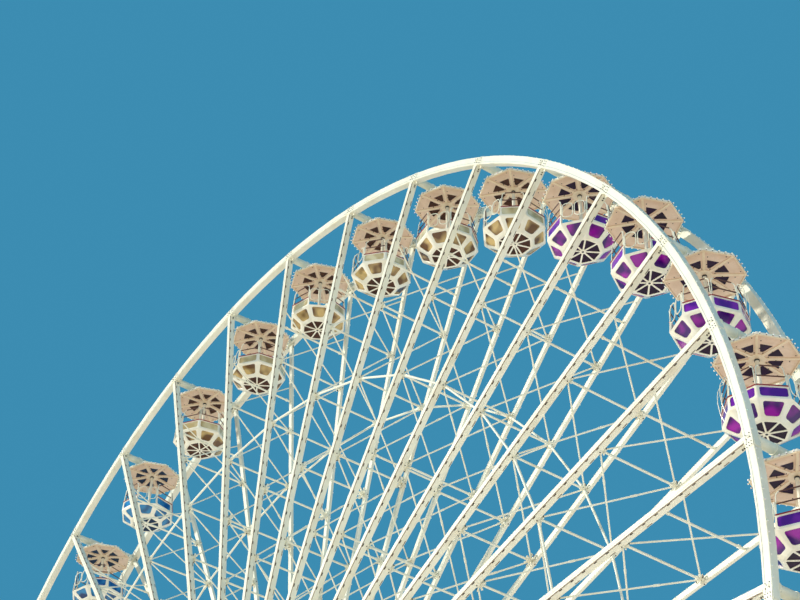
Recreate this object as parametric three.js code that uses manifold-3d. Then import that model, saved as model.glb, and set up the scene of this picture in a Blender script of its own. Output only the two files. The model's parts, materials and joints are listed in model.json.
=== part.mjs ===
// A transportable giant wheel: two flat spoked wheels joined at a hub, with 36 round gondolas hung
// between them. Sizes are those of the full-size wheel in millimetres, +Z up, the hub's axle along Y,
// ground at z = 0. The group is scaled to the model's size at the end.

import * as THREE from "three";
import { mergeVertices } from "three/addons/utils/BufferGeometryUtils.js";
import Module from "manifold-3d";

const wasm = await Module();
wasm.setup();

const modelScale = 0.5; // the real wheel is over 40 m tall
const seatGap = 0.6; // left between two pieces that rest on each other

// the wheel
const spokeCount = 36;
const stepAngle = (2 * Math.PI) / spokeCount;
const firstAngle = THREE.MathUtils.degToRad(-35.56); // of gondola_01, from straight up toward +X
const rimRadius = 25000; // to the middle of the rolled rim, where the gondolas' axles lie
const rimDepth = 290;
const rimFacets = 4; // straight facets that stand for the rim's curve between two spokes
const rimWidth = 240;
const planeOffset = 1500; // each flat wheel's middle, either side of the gondolas
const spokeSize = {
  front: { width: 220, thickness: 200 }, // the tube with its lamp housing
  rear: { width: 180, thickness: 100 }, // the bare tube
};
const flangeThickness = 200;
const flangeRadius = 2000;
const flangeInner = 1200;

// the axle and what carries it
const gondolaDrop = 3000; // from a gondola's axle to its underside
const groundClearance = 1300; // under the lowest gondola
const hubHeight = rimRadius + gondolaDrop + groundClearance;
const axleRadius = 520;
const axleReach = 3400;
const shoulderRadius = 640; // bears on the inner face of each bearing
const drumRadius = 900;
const collarRadius = 1300;
const collarThickness = 120;
const bearingInner = 2300; // |y| of the bearing's inner face
const bearingDepth = 900;
const bearingRadius = 900;
const saddleLength = 2600;
const saddleHeight = 300;
const saddleDrop = 1000; // from the axle down to the saddle's underside

// gondola, measured down from its own axle
const tubeRadius = 150;
const neckRadius = 130;
const canopyRadius = 1200;
const canopyApex = 300;
const canopyEdgeTop = 520;
const canopyEdgeBottom = 600;
const canopyCentre = 480;
const postRadius = 60;
const tubTopRadius = 1120;
const tubTop = 2210;
const beltRadius = 1140;
const belt = 2640;
const floorRadius = 620;
const tubWall = 60;

// base
const legSpreadX = 11500;
const legSpreadY = 5500;
const legTopX = 650;
const legFoot = { x: 1300, y: 700 };
const legHead = { x: 1100, y: 760 };
const beamHeight = 600;
const beamWidth = 900;
const beamLength = 27000;
const crossBeamWidth = 800;
const deckHeight = 1000;
const deckThickness = 150;
const deckLength = 12000;
const deckWidth = 14000;
const deckPost = 200;
const stepRun = 320;
const stepCount = 4;
const stepWidth = 4000;

const paint = {
  frame: new THREE.MeshStandardMaterial({ color: "#efeadb", roughness: 0.45, metalness: 0.1 }),
  gondola: new THREE.MeshStandardMaterial({ color: "#f2ede2", roughness: 0.35, metalness: 0.0 }),
  steel: new THREE.MeshStandardMaterial({ color: "#8d9093", roughness: 0.5, metalness: 0.6 }),
  deck: new THREE.MeshStandardMaterial({ color: "#7d8184", roughness: 0.7, metalness: 0.3 }),
};

// Solids: a closed mesh goes in, manifold-3d joins or cuts it, and a geometry comes back.

function toSolid(geometry) {
  geometry.deleteAttribute("normal");
  geometry.deleteAttribute("uv");
  const merged = mergeVertices(geometry, 0.001);
  const index = merged.index.array;
  const kept = [];
  for (let i = 0; i < index.length; i += 3) {
    const [a, b, c] = [index[i], index[i + 1], index[i + 2]];
    if (a !== b && b !== c && c !== a) kept.push(a, b, c);
  }
  const vertProperties = new Float32Array(merged.attributes.position.array);
  const triVerts = new Uint32Array(kept);
  return new wasm.Manifold(new wasm.Mesh({ numProp: 3, vertProperties, triVerts }));
}

function toGeometry(solid) {
  const mesh = solid.getMesh();
  const geometry = new THREE.BufferGeometry();
  geometry.setAttribute("position", new THREE.BufferAttribute(mesh.vertProperties, 3));
  geometry.setIndex(new THREE.BufferAttribute(mesh.triVerts, 1));
  geometry.computeVertexNormals();
  return geometry;
}

const join = (solids) => solids.reduce((sum, solid) => sum.add(solid));

// Shapes.

// A flat piece in the wheel's plane: its outline is (x, z) points, counter-clockwise seen from -Y.
function plate(outline, thickness, middleY) {
  const shape = new THREE.Shape(outline.map(([x, z]) => new THREE.Vector2(x, z)));
  const geometry = new THREE.ExtrudeGeometry(shape, { depth: thickness, bevelEnabled: false });
  geometry.rotateX(Math.PI / 2);
  geometry.translate(0, middleY + thickness / 2, 0);
  return toSolid(geometry);
}

function box(sizeX, sizeY, sizeZ, x, y, z) {
  const geometry = new THREE.BoxGeometry(sizeX, sizeY, sizeZ);
  geometry.translate(x, y, z);
  return toSolid(geometry);
}

// Turned about a vertical axis: the profile is (radius, z) points from the lowest on the axis upward.
function turned(profile, sides, cornerAngle = 0) {
  const points = profile.map(([radius, z]) => new THREE.Vector2(radius, z));
  const geometry = new THREE.LatheGeometry(points, sides, cornerAngle + Math.PI / 2);
  geometry.rotateX(Math.PI / 2);
  return toSolid(geometry);
}

// Turned about the Y axis: the profile is (radius, y) points along +Y.
function turnedAlongY(profile, sides, startAngle = 0) {
  const points = profile.map(([radius, y]) => new THREE.Vector2(radius, y));
  return toSolid(new THREE.LatheGeometry(points, sides, startAngle));
}

// A straight beam between two level ends, each given by its middle and its size.
function raker(foot, footSize, head, headSize) {
  const geometry = new THREE.BoxGeometry(1, 1, 1);
  const position = geometry.attributes.position;
  for (let i = 0; i < position.count; i += 1) {
    const [end, size] = position.getZ(i) > 0 ? [head, headSize] : [foot, footSize];
    position.setXYZ(i, end.x + position.getX(i) * size.x, end.y + position.getY(i) * size.y, end.z);
  }
  return toSolid(geometry);
}

// The wheel, with the hub at the origin.

const angleOf = (index) => firstAngle + index * stepAngle;
const polar = (radius, angle) => [radius * Math.sin(angle), radius * Math.cos(angle)];

// The point that lies radius out along the angle's ray and aside to its right.
function besideRay(radius, aside, angle) {
  const [x, z] = polar(radius, angle);
  return [x + aside * Math.cos(angle), z - aside * Math.sin(angle)];
}

// Half a rim, rolled to a curve.
const facetAngle = stepAngle / rimFacets;
const facetDepth = rimDepth / 2 / Math.cos(facetAngle / 2);

function rimHalf(firstNode, bays, middleY) {
  const facets = bays * rimFacets;
  const side = (radius) => {
    const points = [];
    for (let i = 0; i <= facets; i += 1) {
      const aside = i === 0 ? seatGap / 2 : i === facets ? -seatGap / 2 : 0;
      points.push(besideRay(radius, aside, angleOf(firstNode + i / rimFacets)));
    }
    return points;
  };
  const outer = side(rimRadius + facetDepth);
  const inner = side(rimRadius - facetDepth);
  return plate([...inner, ...outer.reverse()], rimWidth, middleY);
}

// A third of one wheel's spokes, on the part of the hub flange that carries them.
function spokeFan(firstSpoke, spokes, size, middleY) {
  const half = size.width / 2;
  const rimInner = rimRadius - facetDepth - seatGap;
  const shoulder = rimInner - half * Math.tan(facetAngle / 2);
  const root = (flangeInner + flangeRadius) / 2;
  const flange = [];
  for (let i = 0; i <= spokes; i += 1) {
    const aside = i === 0 ? seatGap / 2 : i === spokes ? -seatGap / 2 : 0;
    const angle = angleOf(firstSpoke + i - 0.5);
    flange.push([besideRay(flangeInner, aside, angle), besideRay(flangeRadius, aside, angle)]);
  }
  const inner = flange.map((pair) => pair[0]);
  const outer = flange.map((pair) => pair[1]).reverse();
  const solids = [plate([...inner, ...outer], flangeThickness, middleY)];
  for (let i = 0; i < spokes; i += 1) {
    const angle = angleOf(firstSpoke + i);
    const outline = [
      besideRay(root, -half, angle),
      besideRay(root, half, angle),
      besideRay(shoulder, half, angle),
      besideRay(rimInner, 0, angle),
      besideRay(shoulder, -half, angle),
    ];
    solids.push(plate(outline, size.thickness, middleY));
  }
  return join(solids);
}

function hub() {
  const sides = 16;
  const seat = flangeInner * Math.cos(stepAngle / 2) - seatGap;
  const innerFace = planeOffset - flangeThickness / 2 - seatGap;
  const outerFace = planeOffset + flangeThickness / 2 + seatGap;
  const half = [
    [drumRadius, innerFace - collarThickness],
    [collarRadius, innerFace - collarThickness],
    [collarRadius, innerFace],
    [seat, innerFace],
    [seat, outerFace],
    [collarRadius, outerFace],
    [collarRadius, outerFace + collarThickness],
    [shoulderRadius, outerFace + collarThickness],
    [shoulderRadius, bearingInner - seatGap],
    [axleRadius, bearingInner - seatGap],
    [axleRadius, axleReach],
    [0, axleReach],
  ];
  const mirrored = half.map(([radius, y]) => [radius, -y]).reverse();
  return turnedAlongY([...mirrored, ...half], sides);
}

// Gondolas hang level, with their own axle at the origin.

const octagonCorner = Math.PI / 8;

// Azimuth of each gondola's gate: the photograph's where it shows, a slow drift elsewhere.
const gateAzimuths = new Map([[5, -95], [6, -54], [7, -86], [8, -55], [9, -60], [10, -108], [11, 13]]);
const gateAzimuth = (index) => gateAzimuths.get(index) ?? -75 + 45 * Math.sin(index * 1.9);

function tub(azimuth) {
  const outside = [[0, -gondolaDrop], [floorRadius, -gondolaDrop], [beltRadius, -belt]];
  const rim = [[tubTopRadius, -tubTop], [tubTopRadius - tubWall, -tubTop]];
  const inside = [
    [beltRadius - tubWall, -belt + tubWall / 2],
    [floorRadius - tubWall / 3, -gondolaDrop + tubWall],
    [0, -gondolaDrop + tubWall],
  ];
  const shell = turned([...outside, ...rim, ...inside], 8, azimuth + octagonCorner);
  const gateHeight = belt - tubTop + tubWall / 2;
  const panelWidth = 2 * (beltRadius - tubWall) * Math.sin(octagonCorner);
  const gateway = new THREE.BoxGeometry(4 * tubWall, panelWidth * 0.9, gateHeight);
  gateway.translate(beltRadius * Math.cos(octagonCorner), 0, -tubTop - gateHeight / 2 + tubWall);
  gateway.rotateZ(azimuth);
  return shell.subtract(toSolid(gateway));
}

function gondola(azimuth) {
  const tubeEnd = planeOffset - rimWidth / 2 - seatGap;
  const tube = turnedAlongY([[0, -tubeEnd], [tubeRadius, -tubeEnd], [tubeRadius, tubeEnd], [0, tubeEnd]], 8);
  const underNeck = -canopyCentre + tubWall / 3;
  const neck = turned([[0, underNeck], [neckRadius, underNeck], [neckRadius, 0], [0, 0]], 8);
  const canopyProfile = [
    [0, -canopyCentre],
    [canopyRadius, -canopyEdgeBottom],
    [canopyRadius, -canopyEdgeTop],
    [0, -canopyApex],
  ];
  const canopy = turned(canopyProfile, 8);
  const floorTop = -gondolaDrop + tubWall / 2;
  const postTop = -canopyCentre + tubWall / 2;
  const post = turned([[0, floorTop], [postRadius, floorTop], [postRadius, postTop], [0, postTop]], 6);
  return join([tube, neck, canopy, post, tub(azimuth)]);
}

// What stands on the ground. side is -1 at the front and +1 at the rear, hand -1 at -X.

function leg(side, hand) {
  const foot = { x: hand * legSpreadX, y: side * legSpreadY, z: beamHeight + seatGap };
  const headY = side * (bearingInner + bearingDepth / 2);
  const head = { x: hand * legTopX, y: headY, z: hubHeight - saddleDrop - seatGap };
  return raker(foot, legFoot, head, legHead);
}

function bearing(side) {
  const sides = 16;
  const middleY = side * (bearingInner + bearingDepth / 2);
  const bore = (axleRadius + seatGap) / Math.cos(Math.PI / sides);
  const cylinder = (radius, length) => {
    const profile = [[0, -length / 2], [radius, -length / 2], [radius, length / 2], [0, length / 2]];
    return turnedAlongY(profile, sides).translate(0, middleY, hubHeight);
  };
  const saddleZ = hubHeight - saddleDrop + saddleHeight / 2;
  const saddle = box(saddleLength, bearingDepth, saddleHeight, 0, middleY, saddleZ);
  return cylinder(bearingRadius, bearingDepth).add(saddle).subtract(cylinder(bore, bearingDepth * 2));
}

const sideBeam = (side) => box(beamLength, beamWidth, beamHeight, 0, side * legSpreadY, beamHeight / 2);

function crossBeam(hand) {
  const length = 2 * legSpreadY - beamWidth - 2 * seatGap;
  return box(crossBeamWidth, length, beamHeight, hand * legSpreadX, 0, beamHeight / 2);
}

function platform() {
  const deckZ = deckHeight - deckThickness / 2;
  const solids = [box(deckLength, deckWidth, deckThickness, 0, 0, deckZ)];
  const postHeight = deckHeight - deckThickness / 2;
  const endX = (deckLength - deckPost) / 2;
  const endY = (deckWidth - deckPost) / 2;
  for (const x of [-endX, 0, endX]) {
    for (const y of [-endY, -endY * 0.6, 0, endY * 0.6, endY]) {
      solids.push(box(deckPost, deckPost, postHeight, x, y, postHeight / 2));
    }
    for (const side of [-1, 1]) {
      const foot = beamHeight + seatGap;
      solids.push(box(deckPost, beamWidth / 2, postHeight - foot, x, side * legSpreadY, (postHeight + foot) / 2));
    }
  }
  return join(solids);
}

function steps(side) {
  const rise = deckHeight / (stepCount + 1);
  const near = deckWidth / 2 + seatGap;
  const outline = [[near, 0]];
  for (let i = 0; i < stepCount; i += 1) {
    const y = near + (stepCount - i) * stepRun;
    outline.push([y, rise * i], [y, rise * (i + 1)]);
  }
  outline.push([near, rise * stepCount]);
  const shape = new THREE.Shape(outline.map(([y, z]) => new THREE.Vector2(y, z)));
  const geometry = new THREE.ExtrudeGeometry(shape, { depth: stepWidth, bevelEnabled: false });
  geometry.translate(0, 0, -stepWidth / 2);
  geometry.rotateX(Math.PI / 2);
  geometry.rotateZ((side * Math.PI) / 2);
  return toSolid(geometry);
}

// Assembly.

const wheelModel = new THREE.Group();
wheelModel.scale.setScalar(modelScale);

function place(parent, name, solid, material) {
  const mesh = new THREE.Mesh(toGeometry(solid), material);
  mesh.name = name;
  parent.add(mesh);
  return mesh;
}

const sides = [["front", -1], ["rear", 1]];
const hands = [["left", -1], ["right", 1]];

const turning = new THREE.Group();
turning.position.z = hubHeight;
wheelModel.add(turning);
place(turning, "hub", hub(), paint.steel);
for (const [sideName, side] of sides) {
  const middleY = side * planeOffset;
  const half = spokeCount / 2;
  const third = spokeCount / 3;
  place(turning, `${sideName}_rim_upper`, rimHalf(31, half, middleY), paint.frame);
  place(turning, `${sideName}_rim_lower`, rimHalf(31 + half, half, middleY), paint.frame);
  for (let fan = 0; fan < 3; fan += 1) {
    const spokes = spokeFan(fan * third, third, spokeSize[sideName], middleY);
    place(turning, `${sideName}_spokes_${fan + 1}`, spokes, paint.frame);
  }
}
for (let index = 0; index < spokeCount; index += 1) {
  const name = `gondola_${String(index + 1).padStart(2, "0")}`;
  const azimuth = THREE.MathUtils.degToRad(gateAzimuth(index));
  const mesh = place(turning, name, gondola(azimuth), paint.gondola);
  const [x, z] = polar(rimRadius, angleOf(index));
  mesh.position.set(x, 0, z);
}

for (const [sideName, side] of sides) {
  for (const [handName, hand] of hands) {
    place(wheelModel, `${sideName}_${handName}_leg`, leg(side, hand), paint.frame);
  }
  place(wheelModel, `${sideName}_bearing`, bearing(side), paint.steel);
  place(wheelModel, `${sideName}_base_beam`, sideBeam(side), paint.frame);
  place(wheelModel, `${sideName}_steps`, steps(side), paint.deck);
}
for (const [handName, hand] of hands) {
  place(wheelModel, `${handName}_cross_beam`, crossBeam(hand), paint.frame);
}
place(wheelModel, "boarding_platform", platform(), paint.deck);

export default wheelModel;
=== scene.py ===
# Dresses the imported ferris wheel: lattice, lamps, gondolas, hub, legs and boarding platform.
# The frame is a half-size model. Every size below is the full-size wheel's, in metres, and is
# scaled when a piece is finished.

import json
import math
import bmesh
import bpy
from mathutils import Matrix, Vector


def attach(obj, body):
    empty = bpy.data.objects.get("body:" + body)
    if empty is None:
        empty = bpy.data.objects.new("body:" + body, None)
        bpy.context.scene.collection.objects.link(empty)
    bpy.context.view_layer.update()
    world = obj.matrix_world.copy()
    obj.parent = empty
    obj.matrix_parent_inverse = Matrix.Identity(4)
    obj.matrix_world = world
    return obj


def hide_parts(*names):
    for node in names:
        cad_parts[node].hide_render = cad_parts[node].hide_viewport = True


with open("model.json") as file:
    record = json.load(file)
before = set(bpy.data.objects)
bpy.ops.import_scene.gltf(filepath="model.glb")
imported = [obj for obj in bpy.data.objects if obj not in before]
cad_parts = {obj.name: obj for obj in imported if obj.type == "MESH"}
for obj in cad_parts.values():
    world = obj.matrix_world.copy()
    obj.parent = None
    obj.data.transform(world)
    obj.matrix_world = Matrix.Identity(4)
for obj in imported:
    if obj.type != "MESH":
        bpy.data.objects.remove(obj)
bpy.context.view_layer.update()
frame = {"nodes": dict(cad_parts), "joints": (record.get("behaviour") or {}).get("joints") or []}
modelScale = 0.5

joints = {joint["name"]: Vector(joint["pos_m"]) for joint in frame["joints"]}
hubPlace = joints["wheel_spin"]
gondolaNames = sorted(name for name in frame["nodes"] if name.startswith("gondola_"))
firstArm = joints["gondola_01_level"] - hubPlace
ground = Vector((0, 0, 0))
sides = {"front": -1, "rear": 1}
hands = {"left": -1, "right": 1}

wheel = {
    "spokes": len(gondolaNames),
    "radius": firstArm.length / modelScale,
    "firstAngle": math.atan2(firstArm.x, firstArm.z),
    "plane": 1.5,              # middle of each flat wheel, either side of the gondolas
    "rimDepth": 0.29,
    "rimWidth": 0.24,
    "rimFacets": 4,            # straight facets of the rim between two spokes
    "spoke": {"front": {"width": 0.22, "thickness": 0.2}, "rear": {"width": 0.18, "thickness": 0.1}},
    "flangeInner": 1.2,
    "flangeRadius": 2.0,
    "flangeThickness": 0.2,
    "hubHeight": hubPlace.z / modelScale,
}
stepAngle = 2 * math.pi / wheel["spokes"]


# Camera

def placeCamera():
    # where the photographer stood: low and to the right of the hub, looking up at the top of the wheel
    view = {"fromHub": (50.76, -30.62, -26.17), "yaw": -54.71, "pitch": 40.86, "roll": 1.52, "lens": 85.85}
    yaw = math.radians(view["yaw"])
    pitch = math.radians(view["pitch"])
    ahead = Vector((math.sin(yaw) * math.cos(pitch), math.cos(yaw) * math.cos(pitch), math.sin(pitch)))
    right = Vector((math.cos(yaw), -math.sin(yaw), 0))
    turn = Matrix((right, right.cross(ahead), -ahead)).transposed().to_4x4()
    roll = Matrix.Rotation(math.radians(view["roll"]), 4, "Z")
    camera = bpy.data.objects.new("camera", bpy.data.cameras.new("camera"))
    camera.data.lens = view["lens"]
    camera.data.clip_end = 500
    camera.matrix_world = Matrix.Translation(hubPlace + Vector(view["fromHub"]) * modelScale) @ turn @ roll
    bpy.context.scene.collection.objects.link(camera)
    bpy.context.scene.camera = camera


placeCamera()
print("camera placed")


# Materials

def hexColour(text):
    channels = [int(text[i:i + 2], 16) / 255 for i in (1, 3, 5)]
    linear = [c / 12.92 if c <= 0.04045 else ((c + 0.055) / 1.055) ** 2.4 for c in channels]
    return (*linear, 1)


def addNode(tree, kind, links=None, **settings):
    node = tree.nodes.new(kind)
    for key, value in settings.items():
        setattr(node, key, value)
    for socket, value in (links or {}).items():
        if isinstance(value, bpy.types.NodeSocket):
            tree.links.new(value, node.inputs[socket])
        else:
            node.inputs[socket].default_value = value
    return node


def newSurface(name, **sockets):
    material = bpy.data.materials.new(name)
    material.use_nodes = True
    shader = material.node_tree.nodes["Principled BSDF"]
    for socket, value in sockets.items():
        shader.inputs[socket.replace("_", " ")].default_value = value
    return material, material.node_tree, shader


def patternScale(millimetres):
    # how many repeats of a real size fit in one metre of the model
    return 1000 / (millimetres * modelScale)


def cloudy(tree, size, low, high, detail=5, stretch=(1, 1, 1)):
    # patches of about the given size in millimetres, from 0 to 1 between the low and high levels
    place = addNode(tree, "ShaderNodeTexCoord")
    mapping = addNode(tree, "ShaderNodeMapping", {"Vector": place.outputs["Object"], "Scale": stretch})
    noise = addNode(tree, "ShaderNodeTexNoise", {
        "Vector": mapping.outputs["Vector"], "Scale": patternScale(size), "Detail": detail, "Roughness": 0.6})
    return addNode(tree, "ShaderNodeMapRange", {
        "Value": noise.outputs["Fac"], "From Min": low, "From Max": high}, clamp=True).outputs["Result"]


def blendColours(tree, amount, first, second):
    ramp = addNode(tree, "ShaderNodeValToRGB", {"Fac": amount})
    ramp.color_ramp.elements[0].color = hexColour(first)
    ramp.color_ramp.elements[1].color = hexColour(second)
    return ramp.outputs["Color"]


def roughen(tree, shader, amount, low, high):
    level = addNode(tree, "ShaderNodeMapRange", {"Value": amount, "To Min": low, "To Max": high})
    tree.links.new(level.outputs["Result"], shader.inputs["Roughness"])


def emboss(tree, shader, height, depth, strength=1.0):
    # depth is in millimetres of the real surface
    bump = addNode(tree, "ShaderNodeBump", {
        "Height": height, "Distance": depth / 1000 * modelScale, "Strength": strength})
    tree.links.new(bump.outputs["Normal"], shader.inputs["Normal"])


def sprayedEnamel(name, clean, grimy):
    # two-pack gloss sprayed on steel: bright, with chalky patches and rain-washed grime
    material, tree, shader = newSurface(name, IOR=1.5, Coat_Weight=0.25, Coat_Roughness=0.2)
    grime = cloudy(tree, 900, 0.46, 0.8, detail=8, stretch=(1, 1, 0.35))
    tree.links.new(blendColours(tree, grime, clean, grimy), shader.inputs["Base Color"])
    roughen(tree, shader, grime, 0.34, 0.58)
    emboss(tree, shader, cloudy(tree, 60, 0.3, 0.7, detail=3), 1.2, 0.3)
    return material


def gelcoat(name, clean, faded):
    # hand-laid glass fibre under gel coat: deep even gloss, very slightly wavy, yellowed in places
    material, tree, shader = newSurface(name, IOR=1.5, Coat_Weight=0.5, Coat_Roughness=0.1)
    fading = cloudy(tree, 350, 0.38, 0.8, detail=6)
    tree.links.new(blendColours(tree, fading, clean, faded), shader.inputs["Base Color"])
    roughen(tree, shader, fading, 0.26, 0.42)
    emboss(tree, shader, cloudy(tree, 180, 0.3, 0.7, detail=2), 2.5, 0.3)
    return material


def tintedAcrylic(name, tint, deep):
    # cast acrylic sheet dyed through: saturated and glossy, with paler patches painted in as light shining through
    # from behind
    material, tree, shader = newSurface(name, IOR=1.4, Roughness=0.12, Coat_Weight=0.35, Coat_Roughness=0.08)
    shader.inputs["Transmission Weight"].default_value = 0.12
    paintedBacklight = cloudy(tree, 520, 0.4, 0.6, detail=1)
    tree.links.new(blendColours(tree, paintedBacklight, deep, tint), shader.inputs["Base Color"])
    return material


def paintedShadeAcrylic(name, tint, deep):
    # the same sheet, painted almost black as the shade of the unlit space behind it, with a dull sheen
    material, tree, shader = newSurface(name, IOR=1.25, Coat_Weight=0.0)
    paintedShadeMix = cloudy(tree, 240, 0.35, 0.7, detail=3)
    tree.links.new(blendColours(tree, paintedShadeMix, deep, tint), shader.inputs["Base Color"])
    roughen(tree, shader, paintedShadeMix, 0.3, 0.45)
    return material


def galvanised(name):
    # hot-dip zinc: dull grey with crystals a couple of centimetres across
    material, tree, shader = newSurface(name, Metallic=0.9)
    place = addNode(tree, "ShaderNodeTexCoord")
    spangle = addNode(tree, "ShaderNodeTexVoronoi", {
        "Vector": place.outputs["Object"], "Scale": patternScale(45)}, feature="F1")
    tone = addNode(tree, "ShaderNodeSeparateColor", {"Color": spangle.outputs["Color"]}).outputs["Red"]
    tree.links.new(blendColours(tree, tone, "#8E9290", "#B4B7B4"), shader.inputs["Base Color"])
    roughen(tree, shader, tone, 0.38, 0.55)
    return material


def oiledSteel(name):
    # bare bolts and pins: dark brown-grey with grease that takes the shine off in patches
    material, tree, shader = newSurface(name, Metallic=0.7)
    grease = cloudy(tree, 80, 0.35, 0.65, detail=4)
    tree.links.new(blendColours(tree, grease, "#6A625A", "#3A342E"), shader.inputs["Base Color"])
    roughen(tree, shader, grease, 0.35, 0.65)
    return material


def chequerPlate(name):
    # rolled aluminium tread plate: crossed lozenges, drawn at 90 mm so that they show, worn bright
    material, tree, shader = newSurface(name, Metallic=0.85)
    place = addNode(tree, "ShaderNodeTexCoord")
    turned = addNode(tree, "ShaderNodeMapping", {
        "Vector": place.outputs["Object"], "Rotation": (0, 0, math.radians(45))})
    lozenge = addNode(tree, "ShaderNodeTexChecker", {
        "Vector": turned.outputs["Vector"], "Scale": patternScale(90)})
    wear = cloudy(tree, 700, 0.35, 0.7, detail=7)
    tree.links.new(blendColours(tree, wear, "#6C7072", "#8F9394"), shader.inputs["Base Color"])
    roughen(tree, shader, wear, 0.35, 0.6)
    emboss(tree, shader, lozenge.outputs["Fac"], 6, 0.8)
    return material


def mouldedVinyl(name, clean, worn):
    # soft extruded edging: slightly dull, darker where hands rub it
    material, tree, shader = newSurface(name, IOR=1.52, Sheen_Weight=0.1)
    rubbed = cloudy(tree, 160, 0.35, 0.7, detail=4)
    tree.links.new(blendColours(tree, rubbed, clean, worn), shader.inputs["Base Color"])
    roughen(tree, shader, rubbed, 0.4, 0.6)
    return material


def opalCap(name):
    # milky polycarbonate lamp cap: smooth, bright, slightly translucent
    material, tree, shader = newSurface(name, IOR=1.58, Subsurface_Weight=0.3, Subsurface_Scale=0.01)
    haze = cloudy(tree, 200, 0.3, 0.7, detail=1)
    tree.links.new(blendColours(tree, haze, "#FFFEF8", "#F6F2E6"), shader.inputs["Base Color"])
    roughen(tree, shader, haze, 0.12, 0.25)
    return material


frameEnamel = sprayedEnamel("cream_frame_enamel", "#F5F0DB", "#E2D6B8")
legEnamel = sprayedEnamel("cream_leg_enamel", "#F8F1DD", "#DDD0B4")
greyEnamel = sprayedEnamel("grey_hub_enamel", "#CFCFC8", "#A4A49C")
shellGelcoat = gelcoat("white_shell_gelcoat", "#FAF3E2", "#F0E2C4")
# tan lining: partly its own colour, partly painted warm bounce light from the ground
liningAndBounceGelcoat = gelcoat("tan_lining_and_painted_bounce", "#EDCDAF", "#DFB996")
ribGelcoat = gelcoat("cream_rib_gelcoat", "#F6DEBA", "#EACBA2")
zinc = galvanised("galvanised_steel")
darkSteel = oiledSteel("oiled_pin_steel")
treadPlate = chequerPlate("aluminium_tread_plate")
crimsonVinyl = mouldedVinyl("crimson_edging_vinyl", "#A81C2A", "#5E101C")
gripVinyl = mouldedVinyl("brown_grip_vinyl", "#6E4030", "#4A281E")
seamAndChannelShade = mouldedVinyl("brown_seam_and_channel_shade", "#8C7454", "#5C4630")
# near-black vinyl for cables and collars, also painted shade for holes such as the tub's drain
blackVinylAndHoleShade = mouldedVinyl("dark_vinyl_and_hole_shade", "#2A2422", "#171312")
seatVinyl = mouldedVinyl("grey_seat_vinyl", "#8D8F92", "#6B6D70")
opal = opalCap("opal_lamp_cap")

# the third sheet of each set is painted almost black, as the shade of the unlit space behind it
windowSets = {
    "amber": [tintedAcrylic("amber_upper_acrylic", "#EBDDB4", "#C6AE7C"),
              tintedAcrylic("amber_lower_acrylic", "#D9B878", "#6B4622"),
              paintedShadeAcrylic("amber_floor_acrylic", "#5A3420", "#321A10")],
    "purple": [tintedAcrylic("purple_upper_acrylic", "#8A24B4", "#5A1496"),
               tintedAcrylic("purple_lower_acrylic", "#A614A8", "#42086C"),
               paintedShadeAcrylic("purple_floor_acrylic", "#2E0838", "#180420")],
    "blue": [tintedAcrylic("blue_upper_acrylic", "#3D94D0", "#12509A"),
             tintedAcrylic("blue_lower_acrylic", "#2E8CC4", "#0C3468"),
             paintedShadeAcrylic("blue_floor_acrylic", "#12385C", "#071A2E")],
}
print("materials made")


# Building blocks, all closed and facing outwards

def paint(verts, material):
    for face in {face for vert in verts for face in vert.link_faces}:
        face.material_index = material


def along(start, end):
    # a matrix at the middle of a line, with its Z axis along the line
    line = end - start
    return Matrix.Translation((start + end) / 2) @ line.to_track_quat("Z", "Y").to_matrix().to_4x4()


def facing(across, outward, up):
    # a turn that carries X, Y and Z to the three given directions
    return Matrix((across, outward, up)).transposed().to_4x4()


def rod(bm, start, end, radius, segments=6, material=0, endRadius=None):
    start, end = Vector(start), Vector(end)
    made = bmesh.ops.create_cone(
        bm, cap_ends=True, segments=segments, radius1=radius,
        radius2=radius if endRadius is None else endRadius,
        depth=(end - start).length, matrix=along(start, end))
    paint(made["verts"], material)


def block(bm, size, matrix, material=0):
    made = bmesh.ops.create_cube(bm, size=1, matrix=matrix @ Matrix.Diagonal((*size, 1)))
    paint(made["verts"], material)


def plate(bm, place, size, material=0):
    block(bm, size, Matrix.Translation(place), material)


def beam(bm, start, end, width, depth, outward, material=0):
    # a flat-sided bar: depth is measured along outward, width across it
    start, end, outward = Vector(start), Vector(end), Vector(outward)
    run = (end - start).normalized()
    across = outward.cross(run).normalized()
    size = (width, depth, (end - start).length)
    block(bm, size, Matrix.Translation((start + end) / 2) @ facing(across, run.cross(across), run), material)


def bead(bm, place, radius, material=0, subdivisions=1):
    made = bmesh.ops.create_icosphere(
        bm, subdivisions=subdivisions, radius=radius, matrix=Matrix.Translation(place))
    paint(made["verts"], material)


def bridgeRings(bm, rings, closed):
    # skins the space between one ring of vertices and the next
    loops = [list(dict.fromkeys(edge for vert in ring for edge in vert.link_edges)) for ring in rings]
    pairs = list(zip(loops, loops[1:])) + ([(loops[-1], loops[0])] if closed else [])
    for first, second in pairs:
        bmesh.ops.bridge_loops(bm, edges=first + second)
    if not closed:
        for ring in (rings[0], rings[-1]):
            bmesh.ops.contextual_create(bm, geom=ring)
    faces = {face for ring in rings for vert in ring for face in vert.link_faces}
    bmesh.ops.recalc_face_normals(bm, faces=list(faces))


def tube(bm, points, radius, segments=6, material=0, closed=False):
    # a round bar swept through points, mitred where it turns
    points = [Vector(point) for point in points]
    count = len(points)
    rings = []
    for i, point in enumerate(points):
        before = points[i - 1] if closed or i > 0 else point
        after = points[(i + 1) % count] if closed or i < count - 1 else point
        turn = (after - before).to_track_quat("Z", "Y").to_matrix().to_4x4()
        made = bmesh.ops.create_circle(
            bm, cap_ends=False, segments=segments, radius=radius, matrix=Matrix.Translation(point) @ turn)
        rings.append(made["verts"])
    bridgeRings(bm, rings, closed)
    paint([vert for ring in rings for vert in ring], material)


def radialPoint(angle, radius, y):
    return Vector((radius * math.sin(angle), y, radius * math.cos(angle)))


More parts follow.
